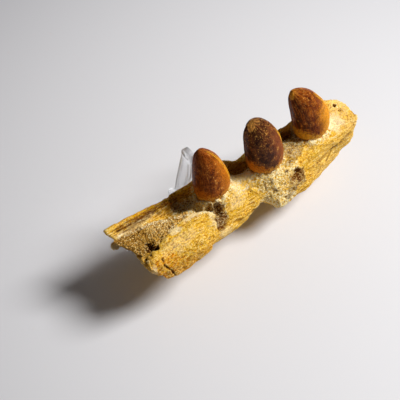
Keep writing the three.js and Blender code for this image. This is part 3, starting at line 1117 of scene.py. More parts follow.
class EnamelFinish(Finish):
    """Old enamel: clouded and finely crazed, with golden keels, an amber neck, a painted lit side
    and a painted shaded side.
    """

    WANDER = (0.25, 1.2)
    STREAK = {"Length": 9.0, "Width": 0.9}
    HAIR = {"Length": 4.0, "Width": 0.28}
    CRAZE_DRAW = (0.6, 1.0, 1.0)
    CRAZE_HOLE = 1.5
    BUMP_DEPTH = 0.16
    GLOSS = 0.05

    def __init__(self, name: str, effects: SharedEffects, colours: EnamelColours) -> None:
        """Build the material of one crown.

        Args:
            name: Name of the material.
            effects: The shared shader groups.
            colours: Colours of the crown.
        """
        super().__init__(name)
        make = self.make
        crown = make.bent(make.vector("crown"), *self.WANDER)
        streaks = self.group(effects.streaks, Vector=crown, **self.STREAK)[0]
        hair = self.group(effects.streaks, Vector=crown, **self.HAIR)[0]
        cloud = make.noise(crown, 0.3, 3.0, 0.6)
        grain = make.span(make.noise(crown, 1.25, 3.0, 0.7), 0.34, 0.66)
        drawn = make.scaled(crown, self.CRAZE_DRAW)
        craze = self.group(effects.web, Vector=drawn, Hole=self.CRAZE_HOLE)[0]
        tone = make.total(
            [(streaks, colours.streaky), (hair, 0.24), (cloud, 0.9), (grain, 0.4)], -0.37
        )
        colour = make.ramp(
            tone, [(0.2, colours.streak), (0.5, colours.body), (0.86, colours.pale)]
        )
        vein = make.times(craze, make.span(cloud, 0.42, 0.6))
        colour = make.mix(make.times(vein, 0.3), colour, colours.vein)
        # lit paints the side towards the lamp lighter, partly painted light and partly the enamel's
        # golden translucency; shade paints the turned-away side darker, partly painted shade and
        # partly dark streaks.
        for mask, texture, paint in (
            ("lit", make.total([(grain, 0.6)], 0.6), colours.lit),
            ("shade", make.times(make.span(streaks, 0.6, 0.3), colours.shading), colours.streak),
            ("neck", make.total([(grain, 0.7)], 0.5), colours.neck),
            ("keel", make.span(grain, 0.0, 0.4), colours.keel),
            ("crust", make.span(grain, 0.4, 0.7), colours.crust),
            ("tip", make.span(grain, 0.05, 0.45), colours.tip),
        ):
            colour = make.mix(make.times(make.mask(mask), texture), colour, paint)
        # Pale specks that are partly dust and partly painted glints of the lamp on the enamel.
        specks_and_glints = make.span(make.noise(crown, 1.1, 2.0, 0.7), 0.59, 0.65)
        where = make.math("MAXIMUM", make.mask("speck_and_glint_share"), make.span(cloud, 0.52, 0.6))
        colour = make.mix(make.times(specks_and_glints, make.times(where, 0.85)), colour, colours.speck_and_glint)
        make.feed(self.shader.inputs["Base Color"], colour)
        height = make.total([(hair, 0.6), (craze, -0.3), (grain, 0.5)], 0.0)
        make.feed(self.shader.inputs["Normal"], make.bump(height, self.BUMP_DEPTH))
        make.feed(self.shader.inputs["Roughness"], make.total([(cloud, 0.2), (grain, 0.3)], 0.12))
        self.constant(Specular_IOR_Level=self.GLOSS)


class ClearPlasticFinish(Finish):
    """Moulded clear plastic that lets the lamp through."""

    TINT = (0.97, 0.975, 0.985, 1.0)
    SHADOW_TINT = (0.93, 0.93, 0.94, 1.0)
    INSIDE_TINT = (0.82, 0.86, 0.95, 1.0)
    DENSITY = 1.5

    def __init__(self) -> None:
        """Build the material."""
        super().__init__("clear_plastic")
        make = self.make
        self.constant(Base_Color=self.TINT, Roughness=0.3, IOR=1.3, Transmission_Weight=1.0)
        haze = make.noise(make.millimetres(), 0.35, 2.0)
        make.feed(self.shader.inputs["Normal"], make.bump(haze, 0.05))
        clear = make.node("ShaderNodeBsdfTransparent", {"Color": self.SHADOW_TINT})
        path = make.node("ShaderNodeLightPath").outputs["Is Shadow Ray"]
        sources = {0: path, 1: self.shader.outputs[0], 2: clear.outputs[0]}
        mixed = make.node("ShaderNodeMixShader", sources)
        make.feed(self.output.inputs["Surface"], mixed.outputs[0])
        inside = {"Color": self.INSIDE_TINT, "Density": self.DENSITY}
        tint = make.node("ShaderNodeVolumeAbsorption", inside)
        make.feed(self.output.inputs["Volume"], tint.outputs[0])


# ------------------------------------------------------------------ where the marks lie


@dataclass(frozen=True)
class Patch:
    """An uneven patch of the surface with one mark."""

    EDGE = (1.2, 0.8)

    mark: Mark
    at: Triple
    half: Triple
    strength: float = 1.0

    def share(self, measures: Array, wobble: Array) -> Array:
        """Return how far each place is in the patch, from 0 to 1.

        Args:
            measures: Jaw measures of the places.
            wobble: How far each place is shifted, so that the edge is uneven.

        Returns:
            One share for each place.
        """
        away = (measures + wobble - np.array(self.at)) / np.array(self.half)
        away = np.linalg.norm(away, axis=1)
        return self.strength * smooth_step(*self.EDGE, away)


def patches(mark: Mark, *rows: tuple[Triple, Triple] | tuple[Triple, Triple, float]) -> list[Patch]:
    """Return patches of one mark, of rows of middle, half sizes and strength."""
    return [Patch(mark, *row) for row in rows]


@dataclass(frozen=True)
class Line:
    """A seam, crack or crest along a path."""

    BEYOND = 1e3

    path: tuple[Triple, ...]
    radius: float
    height: float
    mark: Mark
    strength: float

    def distance(self, measures: Array) -> Array:
        """Return the distance of each place from the path, in millimetres.

        Args:
            measures: Jaw measures of the places.

        Returns:
            One distance for each place.
        """
        nearest = np.full(len(measures), self.BEYOND)
        for start, end in zip(self.path, self.path[1:]):
            first, reach = np.array(start), np.array(end) - np.array(start)
            share = np.clip((measures - first) @ reach / (reach @ reach), 0.0, 1.0)
            gap = np.linalg.norm(measures - first - share[:, None] * reach, axis=1)
            nearest = np.minimum(nearest, gap)
        return nearest


def cracks(*rows: tuple[tuple[Triple, ...], float, float, float]) -> list[Line]:
    """Return stained cracks, of rows of path, radius, depth and stain."""
    return [Line(path, radius, -depth, Mark.STAIN, stain) for path, radius, depth, stain in rows]


@dataclass(frozen=True)
class Socket:
    """Where a crown stands: the middle of its neck and the neck's half sizes."""

    along: float
    across: float
    height: float
    half_length: float
    half_width: float

    def spread(self, measures: Array) -> Array:
        """Return distance from the crown's axis, where 1 is at its neck.

        Args:
            measures: Jaw measures of the places.

        Returns:
            One distance for each place.
        """
        return np.hypot(
            (measures[:, 0] - self.along) / self.half_length,
            (measures[:, 1] - self.across) / self.half_width,
        )


# ------------------------------------------------------------------ sculpting


@dataclass(frozen=True)
class ReliefSizes:
    """Depths and spacings of what is carved, in millimetres."""

    wobble: float = 2.0
    wobble_spacing: float = 4.5
    line_wobble: float = 0.25
    line_warp: float = 0.35
    warp: float = 0.8
    warp_spacing: float = 6.0
    swell: float = 0.35
    swell_spacing: float = 9.0
    fibre: float = 0.42
    fibre_spacing: Triple = (20.0, 1.5, 1.5)
    thread: float = 0.16
    thread_spacing: Triple = (9.0, 0.75, 0.75)
    pitted_grain: float = 0.75
    pit: float = 0.2
    pit_spacing: Triple = (2.2, 1.3, 1.3)
    scuff: float = 0.2
    scuff_spacing: float = 1.4
    flake: float = 0.22
    flake_spacing: Triple = (11.0, 4.0, 4.0)
    flake_levels: Triple = (-0.25, 0.12, 0.4)
    pore: float = 0.5
    pore_spacing: float = 2.0
    poreless_share: float = 0.66
    clod: float = 0.3
    clod_spacing: float = 1.6
    sunk: float = 0.3
    crumb: float = 0.42
    crumb_spacing: float = 2.6
    hollow: float = 0.36
    hollow_spacing: float = 1.5


class FossilSurface:
    """Carves the fine form of bone and rock into a plain surface."""

    SHIFTS = (0.0, 31.0, 57.0)
    WARP_SHIFTS = (3.0, 43.0, 71.0)
    FLAKE_SHIFT, CRUMB_SHIFT, HOLLOW_SHIFT = 5.0, 11.0, 23.0
    LINE_EDGE = (1.3, 0.5)
    PIT_WALL, PIT_FLOOR = (0.3, 0.0), (0.3, 0.05)
    FLAKE_STEP = 0.05
    PORE_EDGE = (0.36, 0.1)
    CLOD_EDGE = (0.4, 0.06)
    HOLLOW_EDGE = (0.22, 0.5)
    CLOSE_ROUNDS, CLOSE_WEIGHT = 3, 1.5
    WIDE_ROUNDS, WIDE_WEIGHT = 16, 0.45

    def __init__(self, jaw: JawFrame, patches: list[Patch], lines: list[Line], seed: int) -> None:
        """Keep what the surface is marked with.

        Args:
            jaw: The measures of the jaw.
            patches: Its patches.
            lines: Its cracks and crests.
            seed: What its patterns are drawn from.
        """
        self.jaw = jaw
        self.patches = patches
        self.lines = lines
        self.pattern = Pattern(seed)
        self.sizes = ReliefSizes()

    def shares(self, measures: Array) -> Shares:
        """Return the share of each mark at each place.

        Args:
            measures: Jaw measures of the places.

        Returns:
            One row of shares for each mark.
        """
        size = self.sizes
        wobble = np.column_stack(
            [
                size.wobble * self.pattern.rough(measures / size.wobble_spacing + shift, 3)
                for shift in self.SHIFTS
            ]
        )
        shares = {mark: np.zeros(len(measures)) for mark in Mark}
        for patch in self.patches:
            kept = shares[patch.mark]
            shares[patch.mark] = np.maximum(kept, patch.share(measures, wobble))
        for line in self.lines:
            gap = line.distance(measures + size.line_wobble * wobble)
            near = smooth_step(*self.LINE_EDGE, gap / line.radius)
            shares[line.mark] = np.maximum(shares[line.mark], line.strength * near)
        return shares

    def relief(self, measures: Array, shares: Shares) -> Array:
        """Return how far the surface stands out at each place, in millimetres.

        Args:
            measures: Jaw measures of the places.
            shares: Share of each mark there.

        Returns:
            One height for each place.
        """
        make, size = self.pattern, self.sizes
        sand = np.maximum(shares[Mark.SAND], shares[Mark.SPONGE])
        warped = measures + size.warp * np.column_stack(
            [make.waves(measures / size.warp_spacing + shift) for shift in self.WARP_SHIFTS]
        )
        height = size.swell * make.rough(measures / size.swell_spacing, 2)
        self._carve_bone(height, measures, warped, 1.0 - sand, shares[Mark.PITTED])
        self._carve_sand(height, measures, sand)
        for line in self.lines:
            gap = line.distance(measures + size.line_warp * (warped - measures))
            height += line.height * smooth_step(line.radius, 0.0, gap)
        return height

    def _carve_bone(
        self,
        height: Array,
        measures: Array,
        warped: Array,
        bone: Array,
        worn: Array,
    ) -> None:
        """Add the long grain, pits, flakes and pores of bone.

        Args:
            height: Heights of the surface, added to in place.
            measures: Jaw measures of the places.
            warped: The same, pushed about so that the grain wanders.
            bone: Share of bone at each place.
            worn: Share of pitted bone at each place.
        """
        make, size = self.pattern, self.sizes
        long_grained = bone * (1.0 - size.pitted_grain * worn)
        fibres = make.ridges(warped / np.array(size.fibre_spacing), 2) - 0.5
        threads = make.waves(warped / np.array(size.thread_spacing))
        height += long_grained * (size.fibre * fibres + size.thread * threads)
        pitted = bone * worn
        near, second, _ = make.cells(warped / np.array(size.pit_spacing))
        walls = smooth_step(*self.PIT_WALL, second - near) - smooth_step(*self.PIT_FLOOR, near)
        height += pitted * size.pit * walls
        height += pitted * size.scuff * make.rough(warped / size.scuff_spacing, 2)
        flake = make.rough(warped / np.array(size.flake_spacing) + self.FLAKE_SHIFT, 2)
        for level in size.flake_levels:
            step = smooth_step(level - self.FLAKE_STEP, level + self.FLAKE_STEP, flake)
            height += bone * size.flake * (step - 0.5)
        near, _, shade = make.cells(measures / size.pore_spacing)
        pores = smooth_step(*self.PORE_EDGE, near) * (shade > size.poreless_share)
        height -= bone * size.pore * pores

    def _carve_sand(self, height: Array, measures: Array, sand: Array) -> None:
        """Add the clods, crumbs and hollows of sandy rock.

        Args:
            height: Heights of the surface, added to in place.
            measures: Jaw measures of the places.
            sand: Share of sandy rock at each place.
        """
        make, size = self.pattern, self.sizes
        near, second, shade = make.cells(measures / size.clod_spacing)
        clods = size.clod * smooth_step(*self.CLOD_EDGE, second - near) * (0.5 + shade)
        height += sand * (clods - size.sunk)
        crumbs = make.rough(measures / size.crumb_spacing + self.CRUMB_SHIFT, 3, 0.6)
        height += sand * size.crumb * crumbs
        hollows = make.waves(measures / size.hollow_spacing + self.HOLLOW_SHIFT)
        height -= sand * size.hollow * smooth_step(*self.HOLLOW_EDGE, hollows)

    def carve(
        self,
        piece: Object,
        low: Vector,
        high: Vector,
        extra: Callable[[Array, Array, Shares], Array],
    ) -> None:
        """Carve a piece and write its marks as attributes.

        Args:
            piece: The piece, with small even faces.
            low: Lowest corner that it may reach.
            high: Highest corner that it may reach.
            extra: A function of measures, normals and shares that returns one more
                shift for each place, in millimetres along the frame's axes.
        """
        mesh = piece.data
        edges = mesh_edges(mesh)
        points = mesh_points(mesh)
        normals = mesh_normals(mesh)
        measures = self.jaw.measures(points)
        shares = self.shares(measures)
        height = self.relief(measures, shares)
        moved = points + normals * (height * MM)[:, None]
        moved += extra(measures, normals, shares) * MM
        moved = np.clip(moved, np.array(low), np.array(high))
        set_points(mesh, moved)
        normals = mesh_normals(mesh)
        close, wide = (
            np.einsum("ij,ij->i", moved - relaxed(moved, edges, rounds, False), normals) / MM
            for rounds in (self.CLOSE_ROUNDS, self.WIDE_ROUNDS)
        )
        # Curvature of the carved surface; the bone and rock colours take it up as painted shade in
        # hollows and painted highlight on crests.
        relief = 0.5 + self.CLOSE_WEIGHT * close + self.WIDE_WEIGHT * wide
        set_mask(mesh, "relief", np.clip(relief, 0.0, 1.0))
        for mark, share in shares.items():
            set_mask(mesh, mark.value, np.clip(share, 0.0, 1.0))


# ------------------------------------------------------------------ loose grains


@dataclass(frozen=True)
class GrainSizes:
    """How thickly loose grains lie, and how large they are in millimetres."""

    per_square_metre: float
    smallest: float
    largest: float
    seed: int


class GrainScatter:
    """Scatters small grains over the marked part of a surface, by Geometry Nodes."""

    INPUTS: SocketRows = {
        "Surface": ("NodeSocketGeometry", None),
        "Mark": ("NodeSocketString", Mark.GRIT.value),
        "Grains per square metre": (FLOAT, 1.0e6),
        "Smallest": (FLOAT, 0.2 * MM),
        "Largest": (FLOAT, 0.6 * MM),
        "Seed": ("NodeSocketInt", 1),
        "Material": ("NodeSocketMaterial", None),
    }

    def __init__(self) -> None:
        """Build the tree once."""
        self.tree = bpy.data.node_groups.new("scatter_grains", "GeometryNodeTree")
        self.sockets = add_inputs(self.tree, self.INPUTS)
        self.tree.interface.new_socket(
            name="Grains", in_out="OUTPUT", socket_type="NodeSocketGeometry"
        )
        self._wire()

    def _wire(self) -> None:
        """Make the nodes of the tree and link them."""
        make = Wiring(self.tree)
        start = make.node("NodeGroupInput").outputs
        end = make.node("NodeGroupOutput").inputs
        seed = {"Seed": start["Seed"]}
        mark = make.node(
            "GeometryNodeInputNamedAttribute", {"Name": start["Mark"]}, data_type="FLOAT"
        )
        density = make.node(
            "ShaderNodeMath",
            {0: mark.outputs["Attribute"], 1: start["Grains per square metre"]},
            operation="MULTIPLY",
        )
        spots = make.node(
            "GeometryNodeDistributePointsOnFaces",
            {"Mesh": start["Surface"], "Density": density.outputs[0], **seed},
        )
        grain = make.node("GeometryNodeMeshIcoSphere", {"Radius": 1.0, "Subdivisions": 1})
        turn = make.node(
            "FunctionNodeRandomValue", {"Max": (math.tau,) * 3, **seed}, data_type="FLOAT_VECTOR"
        )
        low, high = (
            make.node("ShaderNodeCombineXYZ", {axis: start[limit] for axis in range(3)})
            for limit in ("Smallest", "Largest")
        )
        size = make.node(
            "FunctionNodeRandomValue",
            {"Min": low.outputs[0], "Max": high.outputs[0], **seed},
            data_type="FLOAT_VECTOR",
        )
        copies = make.node(
            "GeometryNodeInstanceOnPoints",
            {
                "Points": spots.outputs["Points"],
                "Instance": grain.outputs["Mesh"],
                "Rotation": turn.outputs["Value"],
                "Scale": size.outputs["Value"],
            },
        )
        shade = make.node("FunctionNodeRandomValue", seed, data_type="FLOAT")
        store = make.node(
            "GeometryNodeStoreNamedAttribute",
            {"Geometry": copies.outputs["Instances"], "Name": "shade"},
            data_type="FLOAT",
            domain="INSTANCE",
        )
        make.feed(store.inputs["Value"], shade.outputs[1])
        plain = make.node("GeometryNodeRealizeInstances", {"Geometry": store.outputs["Geometry"]})
        dress = make.node(
            "GeometryNodeSetMaterial",
            {"Geometry": plain.outputs["Geometry"], "Material": start["Material"]},
        )
        make.feed(end["Grains"], dress.outputs["Geometry"])

    def scatter(
        self, surface: Object, name: str, grains: GrainSizes, finish: GrainFinish
    ) -> Object:
        """Scatter grains over a copy of a surface and keep only the grains.

        Args:
            surface: The surface that carries them.
            name: Name of the new piece.
            grains: How many and how large they are.
            finish: What they are covered with.

        Returns:
            The grains, as one piece of plain mesh.
        """
        piece = new_piece(name, surface.data.copy())
        modifier = piece.modifiers.new("scatter", "NODES")
        modifier.node_group = self.tree
        for label, value in (
            ("Grains per square metre", grains.per_square_metre),
            ("Smallest", grains.smallest * MM),
            ("Largest", grains.largest * MM),
            ("Seed", grains.seed),
            ("Material", finish.material),
        ):
            modifier[self.sockets[label]] = value
        apply_modifiers(piece)
        return piece


# ------------------------------------------------------------------ jaw bone and rock


BORDER_ARC = Line(
    ((5.5, 4.4, 40.6), (16, 5.8, 40), (27, 9, 40), (38, 13.6, 41), (47, 18.6, 41.4)),
    1.1,
    0.3,
    Mark.CREAM,
    1.0,
)


@dataclass(kw_only=True)
class CarvedPiece(ABC):
    """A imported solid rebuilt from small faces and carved, with loose grains on it."""

    NODE: ClassVar[str]
    SLOT: ClassVar[str]

    jaw: JawFrame
    voxel: float
    smoothing: int
    spread: float
    seed: int
    grains: GrainSizes
    patches: list[Patch]
    lines: list[Line]

    @abstractmethod
    def _shift(self, measures: Array, normals: Array, shares: Shares) -> Array:
        """Return one more shift for each place, in millimetres along the frame's axes."""

    @abstractmethod
    def _grit(self, mesh: Mesh) -> Array:
        """Return where loose grains lie."""

    def build(
        self, finish: FossilFinish, scatter: GrainScatter, grain_finish: GrainFinish
    ) -> list[Object]:
        """Make the piece and its loose grains.

        Args:
            finish: What the piece is covered with.
            scatter: What lays the grains.
            grain_finish: What the grains are covered with.

        Returns:
            The piece and its grains.
        """
        piece = voxel_copy(self.NODE, f"{self.NODE}_surface", self.voxel)
        mesh = piece.data
        soften(mesh, self.smoothing, True)
        low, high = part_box(self.NODE)
        margin = Vector((self.spread * MM,) * 3)
        surface = FossilSurface(self.jaw, self.patches, self.lines, self.seed)
        surface.carve(piece, low - margin, high + margin, self._shift)
        set_mask(mesh, Mark.GRIT.value, self._grit(mesh))
        coat(mesh, finish)
        loose = scatter.scatter(piece, f"{self.NODE}_grains", self.grains, grain_finish)
        enter(piece, self.NODE)
        enter(loose)
        return [piece, loose]


@dataclass(kw_only=True)
class JawBone(CarvedPiece):
    """The broken length of jaw, with the rock that clings to it."""

    NODE = "jaw_bone"
    SLOT = "fossil_bone"
    COLLAR = (0.94, 1.04, 1.1, 1.5)
    COLLAR_LEVELS = (-7.0, -3.0)
    COLLAR_LEAST, COLLAR_SWING = 0.6, 0.7
    COLLAR_SPONGE = 0.9
    SOCKET_WALL = (1.12, 1.02)
    GRIT_FACING, GRIT_OUTWARD = (-0.3, 0.3), 0.4
    GRIT_LEVELS = (18.0, 26.0)

    sockets: list[Socket]
    voxel: float = 0.53
    smoothing: int = 14
    spread: float = 0.0
    seed: int = 7
    collar_height: float = 1.5
    collar_spacing: float = 2.4
    socket_closing: float = 0.42
    socket_rise: float = 3.0
    grains: GrainSizes = GrainSizes(
        per_square_metre=4.0e5, smallest=0.12, largest=0.32, seed=11
    )
    patches: list[Patch] = field(
        default_factory=lambda: [
            *patches(
                Mark.PITTED,
                ((28, 30, 36), (28, 9, 12)),
                ((74, 16, 38), (13, 10, 7)),
                ((146, 8, 38), (10, 12, 5), 0.8),
                ((114, 18, 38), (12, 9, 7), 0.8),
            ),
            *patches(
                Mark.SAND,
                ((3, 13, 27), (7, 10, 14)),
                ((60, 2, 20), (20, 6, 12)),
                ((99, 25, 33), (6, 5, 4), 0.45),
                ((8, 25, 38), (4.4, 5, 7), 0.9),
            ),
            *patches(
                Mark.SPONGE,
                ((51.5, 14, 37), (9, 10.5, 9)),
                ((43, 6, 35), (6, 4, 6)),
                ((57, 21.5, 35), (5.5, 6, 7), 0.7),
                ((97, 22, 36), (14, 8, 7)),
                ((86, 17, 38), (6, 7, 5)),
                ((112, 12, 40), (7, 9, 4)),
                ((90, 27, 26), (10, 5, 8)),
                ((97, 28, 22), (8, 5, 8)),
                ((108, 27, 30), (8, 7, 8), 0.5),
                ((153, 3, 38), (6, 7, 4), 0.45),
            ),
            *patches(
                Mark.CREAM,
                ((76, 14, 40), (8, 8, 5)),
                ((18, 4, 41), (16, 1.6, 3), 0.4),
                ((132, 19.4, 38), (14, 1.4, 2), 0.5),
                ((140, 25, 24), (21, 8, 13), 0.14),
                ((153, 20, 30), (9, 10, 10), 0.2),
                ((70, 20, 36), (7, 5, 4), 0.5),
                ((143.5, 12, 38), (6, 7, 4), 0.8),
                ((152, 5, 38), (7, 8, 4), 0.35),
                ((96, 20.4, 39), (5, 3, 3), 0.5),
                ((29, 27, 42), (13, 4, 3), 0.3),
                ((30, 19.8, 43), (4, 1.6, 2), 0.8),
                ((42, 18.2, 43), (6, 2.0, 3), 0.7),
                ((50.5, 25.5, 39), (2.2, 5, 5), 0.6),
                ((56, 28, 26), (5, 3, 5), 0.4),
                ((9.5, 31, 33), (2.2, 4, 8), 0.7),
                ((1.5, 5, 36), (3.4, 3.4, 3.4), 0.6),
            ),
            *patches(
                Mark.GOLD,
                ((152, 6, 38), (8, 9, 5), 0.5),
                ((79, 19, 37), (8, 6, 5), 0.8),
                ((74, 15, 40), (9, 8, 4), 0.5),
                ((106, 17, 40), (14, 8, 4), 0.45),
                ((92, 24, 32), (12, 8, 8), 0.3),
                ((66, 22, 34), (9, 6, 5), 0.5),
                ((30, 28, 38), (26, 9, 10), 0.45),
                ((130, 22, 32), (26, 6, 9), 0.35),
                # Painted light: golden yellow on the rim left of the rear crown, so that it reads
                # as lit where that crown's shadow falls.
                ((47.6, 0.4, 42), (6, 2.6, 4)),
                ((20, -0.6, 41), (26, 2.2, 4), 0.9),
            ),
            *patches(
                Mark.AMBER,
                ((14, 31, 35), (12, 5, 10)),
                ((20, -0.4, 41), (26, 2.6, 4)),
                ((50, 0, 41), (20, 3, 4), 0.9),
                ((34, 33, 29), (18, 4, 6), 0.6),
            ),
            *patches(
                Mark.STAIN,
                ((110, 16, 40), (9, 7, 4), 0.6),
                ((44, 4, 37), (9, 5, 7), 0.5),
                ((29, 2.8, 41), (17, 2.2, 3), 0.6),
                ((44.4, 5.4, 34), (8, 5, 6), 0.4),
                ((42, 2.4, 35), (4, 3, 4), 0.75),
                ((49.4, 12, 35), (4.4, 5.4, 5), 0.3),
                ((52.8, 17.6, 35.4), (3.4, 4, 5), 0.35),
                ((56.4, 22.4, 34.6), (5, 7, 7), 0.9),
                ((82.8, 4.4, 31), (9.5, 5.4, 10), 0.1),
                ((117.2, 3.4, 34), (7, 3.4, 6), 0.5),
                ((16.2, 20.6, 37), (3.2, 4.6, 6)),
                ((109.4, 26.6, 31.4), (5.2, 5.2, 4.6), 0.95),
                ((103.4, 26.6, 31), (2.4, 4, 2), 0.7),
                ((99.4, 28.4, 25), (2.2, 3, 2.2), 0.7),
                ((110.5, 15.2, 40.6), (2.4, 1.8, 2), 0.9),
                ((106, 20, 39), (1.6, 1.4, 1.8), 0.9),
                ((115, 12.6, 40), (1.8, 1.6, 2), 0.9),
                ((112, 28, 26), (3, 3, 3), 0.7),
                ((101.6, 22.6, 37.4), (1.5, 1.5, 1.5), 0.8),
                ((92, 25.4, 31.4), (1.5, 1.4, 1.6), 0.8),
                ((104.6, 28, 27), (5, 5, 5), 0.5),
                ((103.2, 29.8, 25.6), (2.8, 3, 2.8), 0.8),
                ((107.4, 29.4, 25), (2.3, 3, 3), 0.8),
                ((121, 8, 38), (4, 5, 4), 0.5),
                ((150.2, 4.8, 37), (1.9, 1.3, 2), 0.9),
                ((151.6, 8.4, 37), (1.5, 1.2, 1.7), 0.9),
                ((3, 14, 20), (6, 12, 9), 0.6),
            ),
        ]
    )
    lines: list[Line] = field(
        default_factory=lambda: [
            BORDER_ARC,
            *cracks(
                (
                    (
                        (11.4, 23, 41.8),
                        (12.6, 26.4, 41.4),
                        (15, 28.6, 40.9),
                        (14.8, 31, 38.4),
                        (17.8, 32.6, 33),
                        (19.2, 33.4, 28),
                        (21, 32, 22),
                    ),
                    0.55,
                    1.1,
                    1.0,
                ),
                (
                    ((48.6, 21, 41.6), (51.8, 25.6, 39.6), (52.8, 29.4, 36), (49.4, 31.8, 31.5)),
                    0.9,
                    0.7,
                    0.8,
                ),
                (((4, 1.2, 43.6), (20, 1.2, 42.6), (38, 1.2, 40.6)), 0.7, 0.4, 0.6),
                (
                    (
                        (5.5, 2.9, 41),
                        (16, 4.2, 40.6),
                        (27, 7.2, 40.2),
                        (38, 11.6, 40.6),
                        (46, 16.2, 41),
                    ),
                    0.55,
                    0.3,
                    0.6,
                ),
                (((149, 20.6, 32.6), (137, 21.4, 29), (124, 23.4, 27.6)), 1.2, 0.7, 0.35),
                (((154, 18, 33), (141, 20.6, 30.6), (129, 23, 24)), 0.7, 0.5, 0.5),
                (((55, 24, 30), (66, 26.4, 27), (78, 25.4, 26)), 0.7, 0.6, 0.5),
                (((56, 27, 26), (67, 28.4, 22.6), (77, 26.4, 22)), 0.7, 0.5, 0.5),
                (((6, 2.4, 42.6), (22, 2.6, 41.4), (40, 2.4, 39)), 0.8, 0.5, 0.7),
                (((36, 31.6, 37), (41, 32, 36), (44, 31.6, 37)), 0.6, 0.5, 0.7),
            ),
        ]
    )

    def _shift(self, measures: Array, normals: Array, shares: Shares) -> Array:
        """Raise an uneven collar round each crown and press the socket against it.

        Args:
            measures: Jaw measures of the places.
            normals: Which way each place faces; not used here.
            shares: Share of each mark there, added to in place.

        Returns:
            One shift for each place.
        """
        shift = np.zeros_like(measures)
        collar_pattern = Pattern(self.seed + 1).rough(measures / self.collar_spacing, 3)
        uneven = self.COLLAR_LEAST + self.COLLAR_SWING * collar_pattern
        inner, crest, outer, end = self.COLLAR
        for socket in self.sockets:
            spread = socket.spread(measures)
            level = smooth_step(*self.COLLAR_LEVELS, measures[:, 2] - socket.height)
            collar = smooth_step(end, outer, spread) * smooth_step(inner, crest, spread) * level
            shift[:, 2] += collar * (self.collar_height * uneven)
            wall = smooth_step(*self.SOCKET_WALL, spread) * level
            inward = np.column_stack(
                [socket.along - measures[:, 0], measures[:, 1] - socket.across]
            )
            inward /= np.linalg.norm(inward, axis=1, keepdims=True) + 1e-9
            shift[:, :2] += inward * (wall * self.socket_closing)[:, None]
            spongy = self.COLLAR_SPONGE * collar
            shares[Mark.SPONGE] = np.maximum(shares[Mark.SPONGE], spongy)
        return shift

    def _grit(self, mesh: Mesh) -> Array:
        """Return where loose grains lie: on open sandy ground that faces up or out.

        Args:
            mesh: The carved bone.

        Returns:
            One share for each vertex.
        """
        points, normals = mesh_points(mesh), mesh_normals(mesh)
        measures = self.jaw.measures(points)
        sand = np.maximum(mask_values(mesh, Mark.SAND.value), mask_values(mesh, Mark.SPONGE.value))
        facing = normals[:, 2] - self.GRIT_OUTWARD * normals[:, 1]
        grit = sand * smooth_step(*self.GRIT_FACING, facing)
        for socket in self.sockets:
            low = measures[:, 2] < socket.height + self.socket_rise
            grit = np.where((socket.spread(measures) < 1.0) & low, 0.0, grit)
        return grit * smooth_step(*self.GRIT_LEVELS, measures[:, 2])


@dataclass(kw_only=True)
class MatrixFill(CarvedPiece):
    """The sandy rock in the trough between the far rim and the proud plate."""

    NODE = "matrix_fill"
    SLOT = "sandy_matrix"
    SIDEWAYS = (0.3, 1.0, 0.0)
    GRIT_FACING = (0.0, 0.5)

    voxel: float = 0.34
    smoothing: int = 16
    spread: float = 0.5
    seed: int = 19
    grains: GrainSizes = GrainSizes(
        per_square_metre=2.2e6, smallest=0.14, largest=0.42, seed=5
    )
    patches: list[Patch] = field(
        default_factory=lambda: [
            Patch(Mark.SAND, (20, 13, 38), (60, 40, 40)),
            Patch(Mark.STAIN, (15.4, 18.6, 38), (2.4, 5, 6)),
            Patch(Mark.STAIN, (5, 13, 38), (13, 12, 7), 0.45),
            Patch(Mark.CREAM, (29, 17, 42), (3.4, 2.6, 2), 0.7),
            Patch(Mark.CREAM, (26, 12, 40), (7, 4, 2), 0.22),
        ]
    )
    lines: list[Line] = field(default_factory=lambda: [BORDER_ARC])

    def _shift(self, measures: Array, normals: Array, shares: Shares) -> Array:
        """Spread the sides of the rock until they meet the bone."""
        return normals * np.array(self.SIDEWAYS) * self.spread

    def _grit(self, mesh: Mesh) -> Array:
        """Return where loose grains lie: wherever the rock faces up."""
        return smooth_step(*self.GRIT_FACING, mesh_normals(mesh)[:, 2])


# ------------------------------------------------------------------ teeth


def towards(turn: Array, degrees: float) -> Array:
    """Return how far each angle faces one way: 1 towards it and -1 away from it."""
    return np.cos(turn - math.radians(degrees))


@dataclass(frozen=True)
class Chip:
    """Where a flake of enamel is gone from a tip, and the paler spot that it bares."""

    REACH = 7.0
    UNEVEN, UNEVEN_SPACING = 0.25, 1.3
    PAINT_EDGE, PAINT_UNEVEN, PAINT_SPACING = 0.3, 0.5, 1.5

    facing: Triple
    depth: float
    turn: float
    share: float
    half: float


@dataclass(frozen=True)
class PaintSizes:
    """Where the colours of a crown begin and end, mostly as shares of its height."""

    uneven: float = 0.05
    uneven_spacing: float = 2.5
    # Edges of the painted lit side and the painted shaded side.
    lit_facing: Pair = (0.1, 1.0)
    shade_facing: Pair = (0.3, 0.85)
    shade_reach: Pair = (0.1, 0.4)
    neck_facing: Pair = (0.2, 1.0)
    neck_low: float = 0.06
    neck_rise: float = 0.2
    neck_edge: float = 0.08
    neck_strength: float = 0.85
    neck_torn: float = 0.09
    neck_spacing: float = 1.5
    neck_shift: float = 9.0
    crust_reach: Pair = (0.16, 0.04)
    crust_torn: float = 0.04
    crust_spacing: float = 1.2
    crust_shift: float = 5.0
    tip_reach: Pair = (0.94, 0.99)
    tip_strength: float = 0.3
    tip_end: float = 0.4


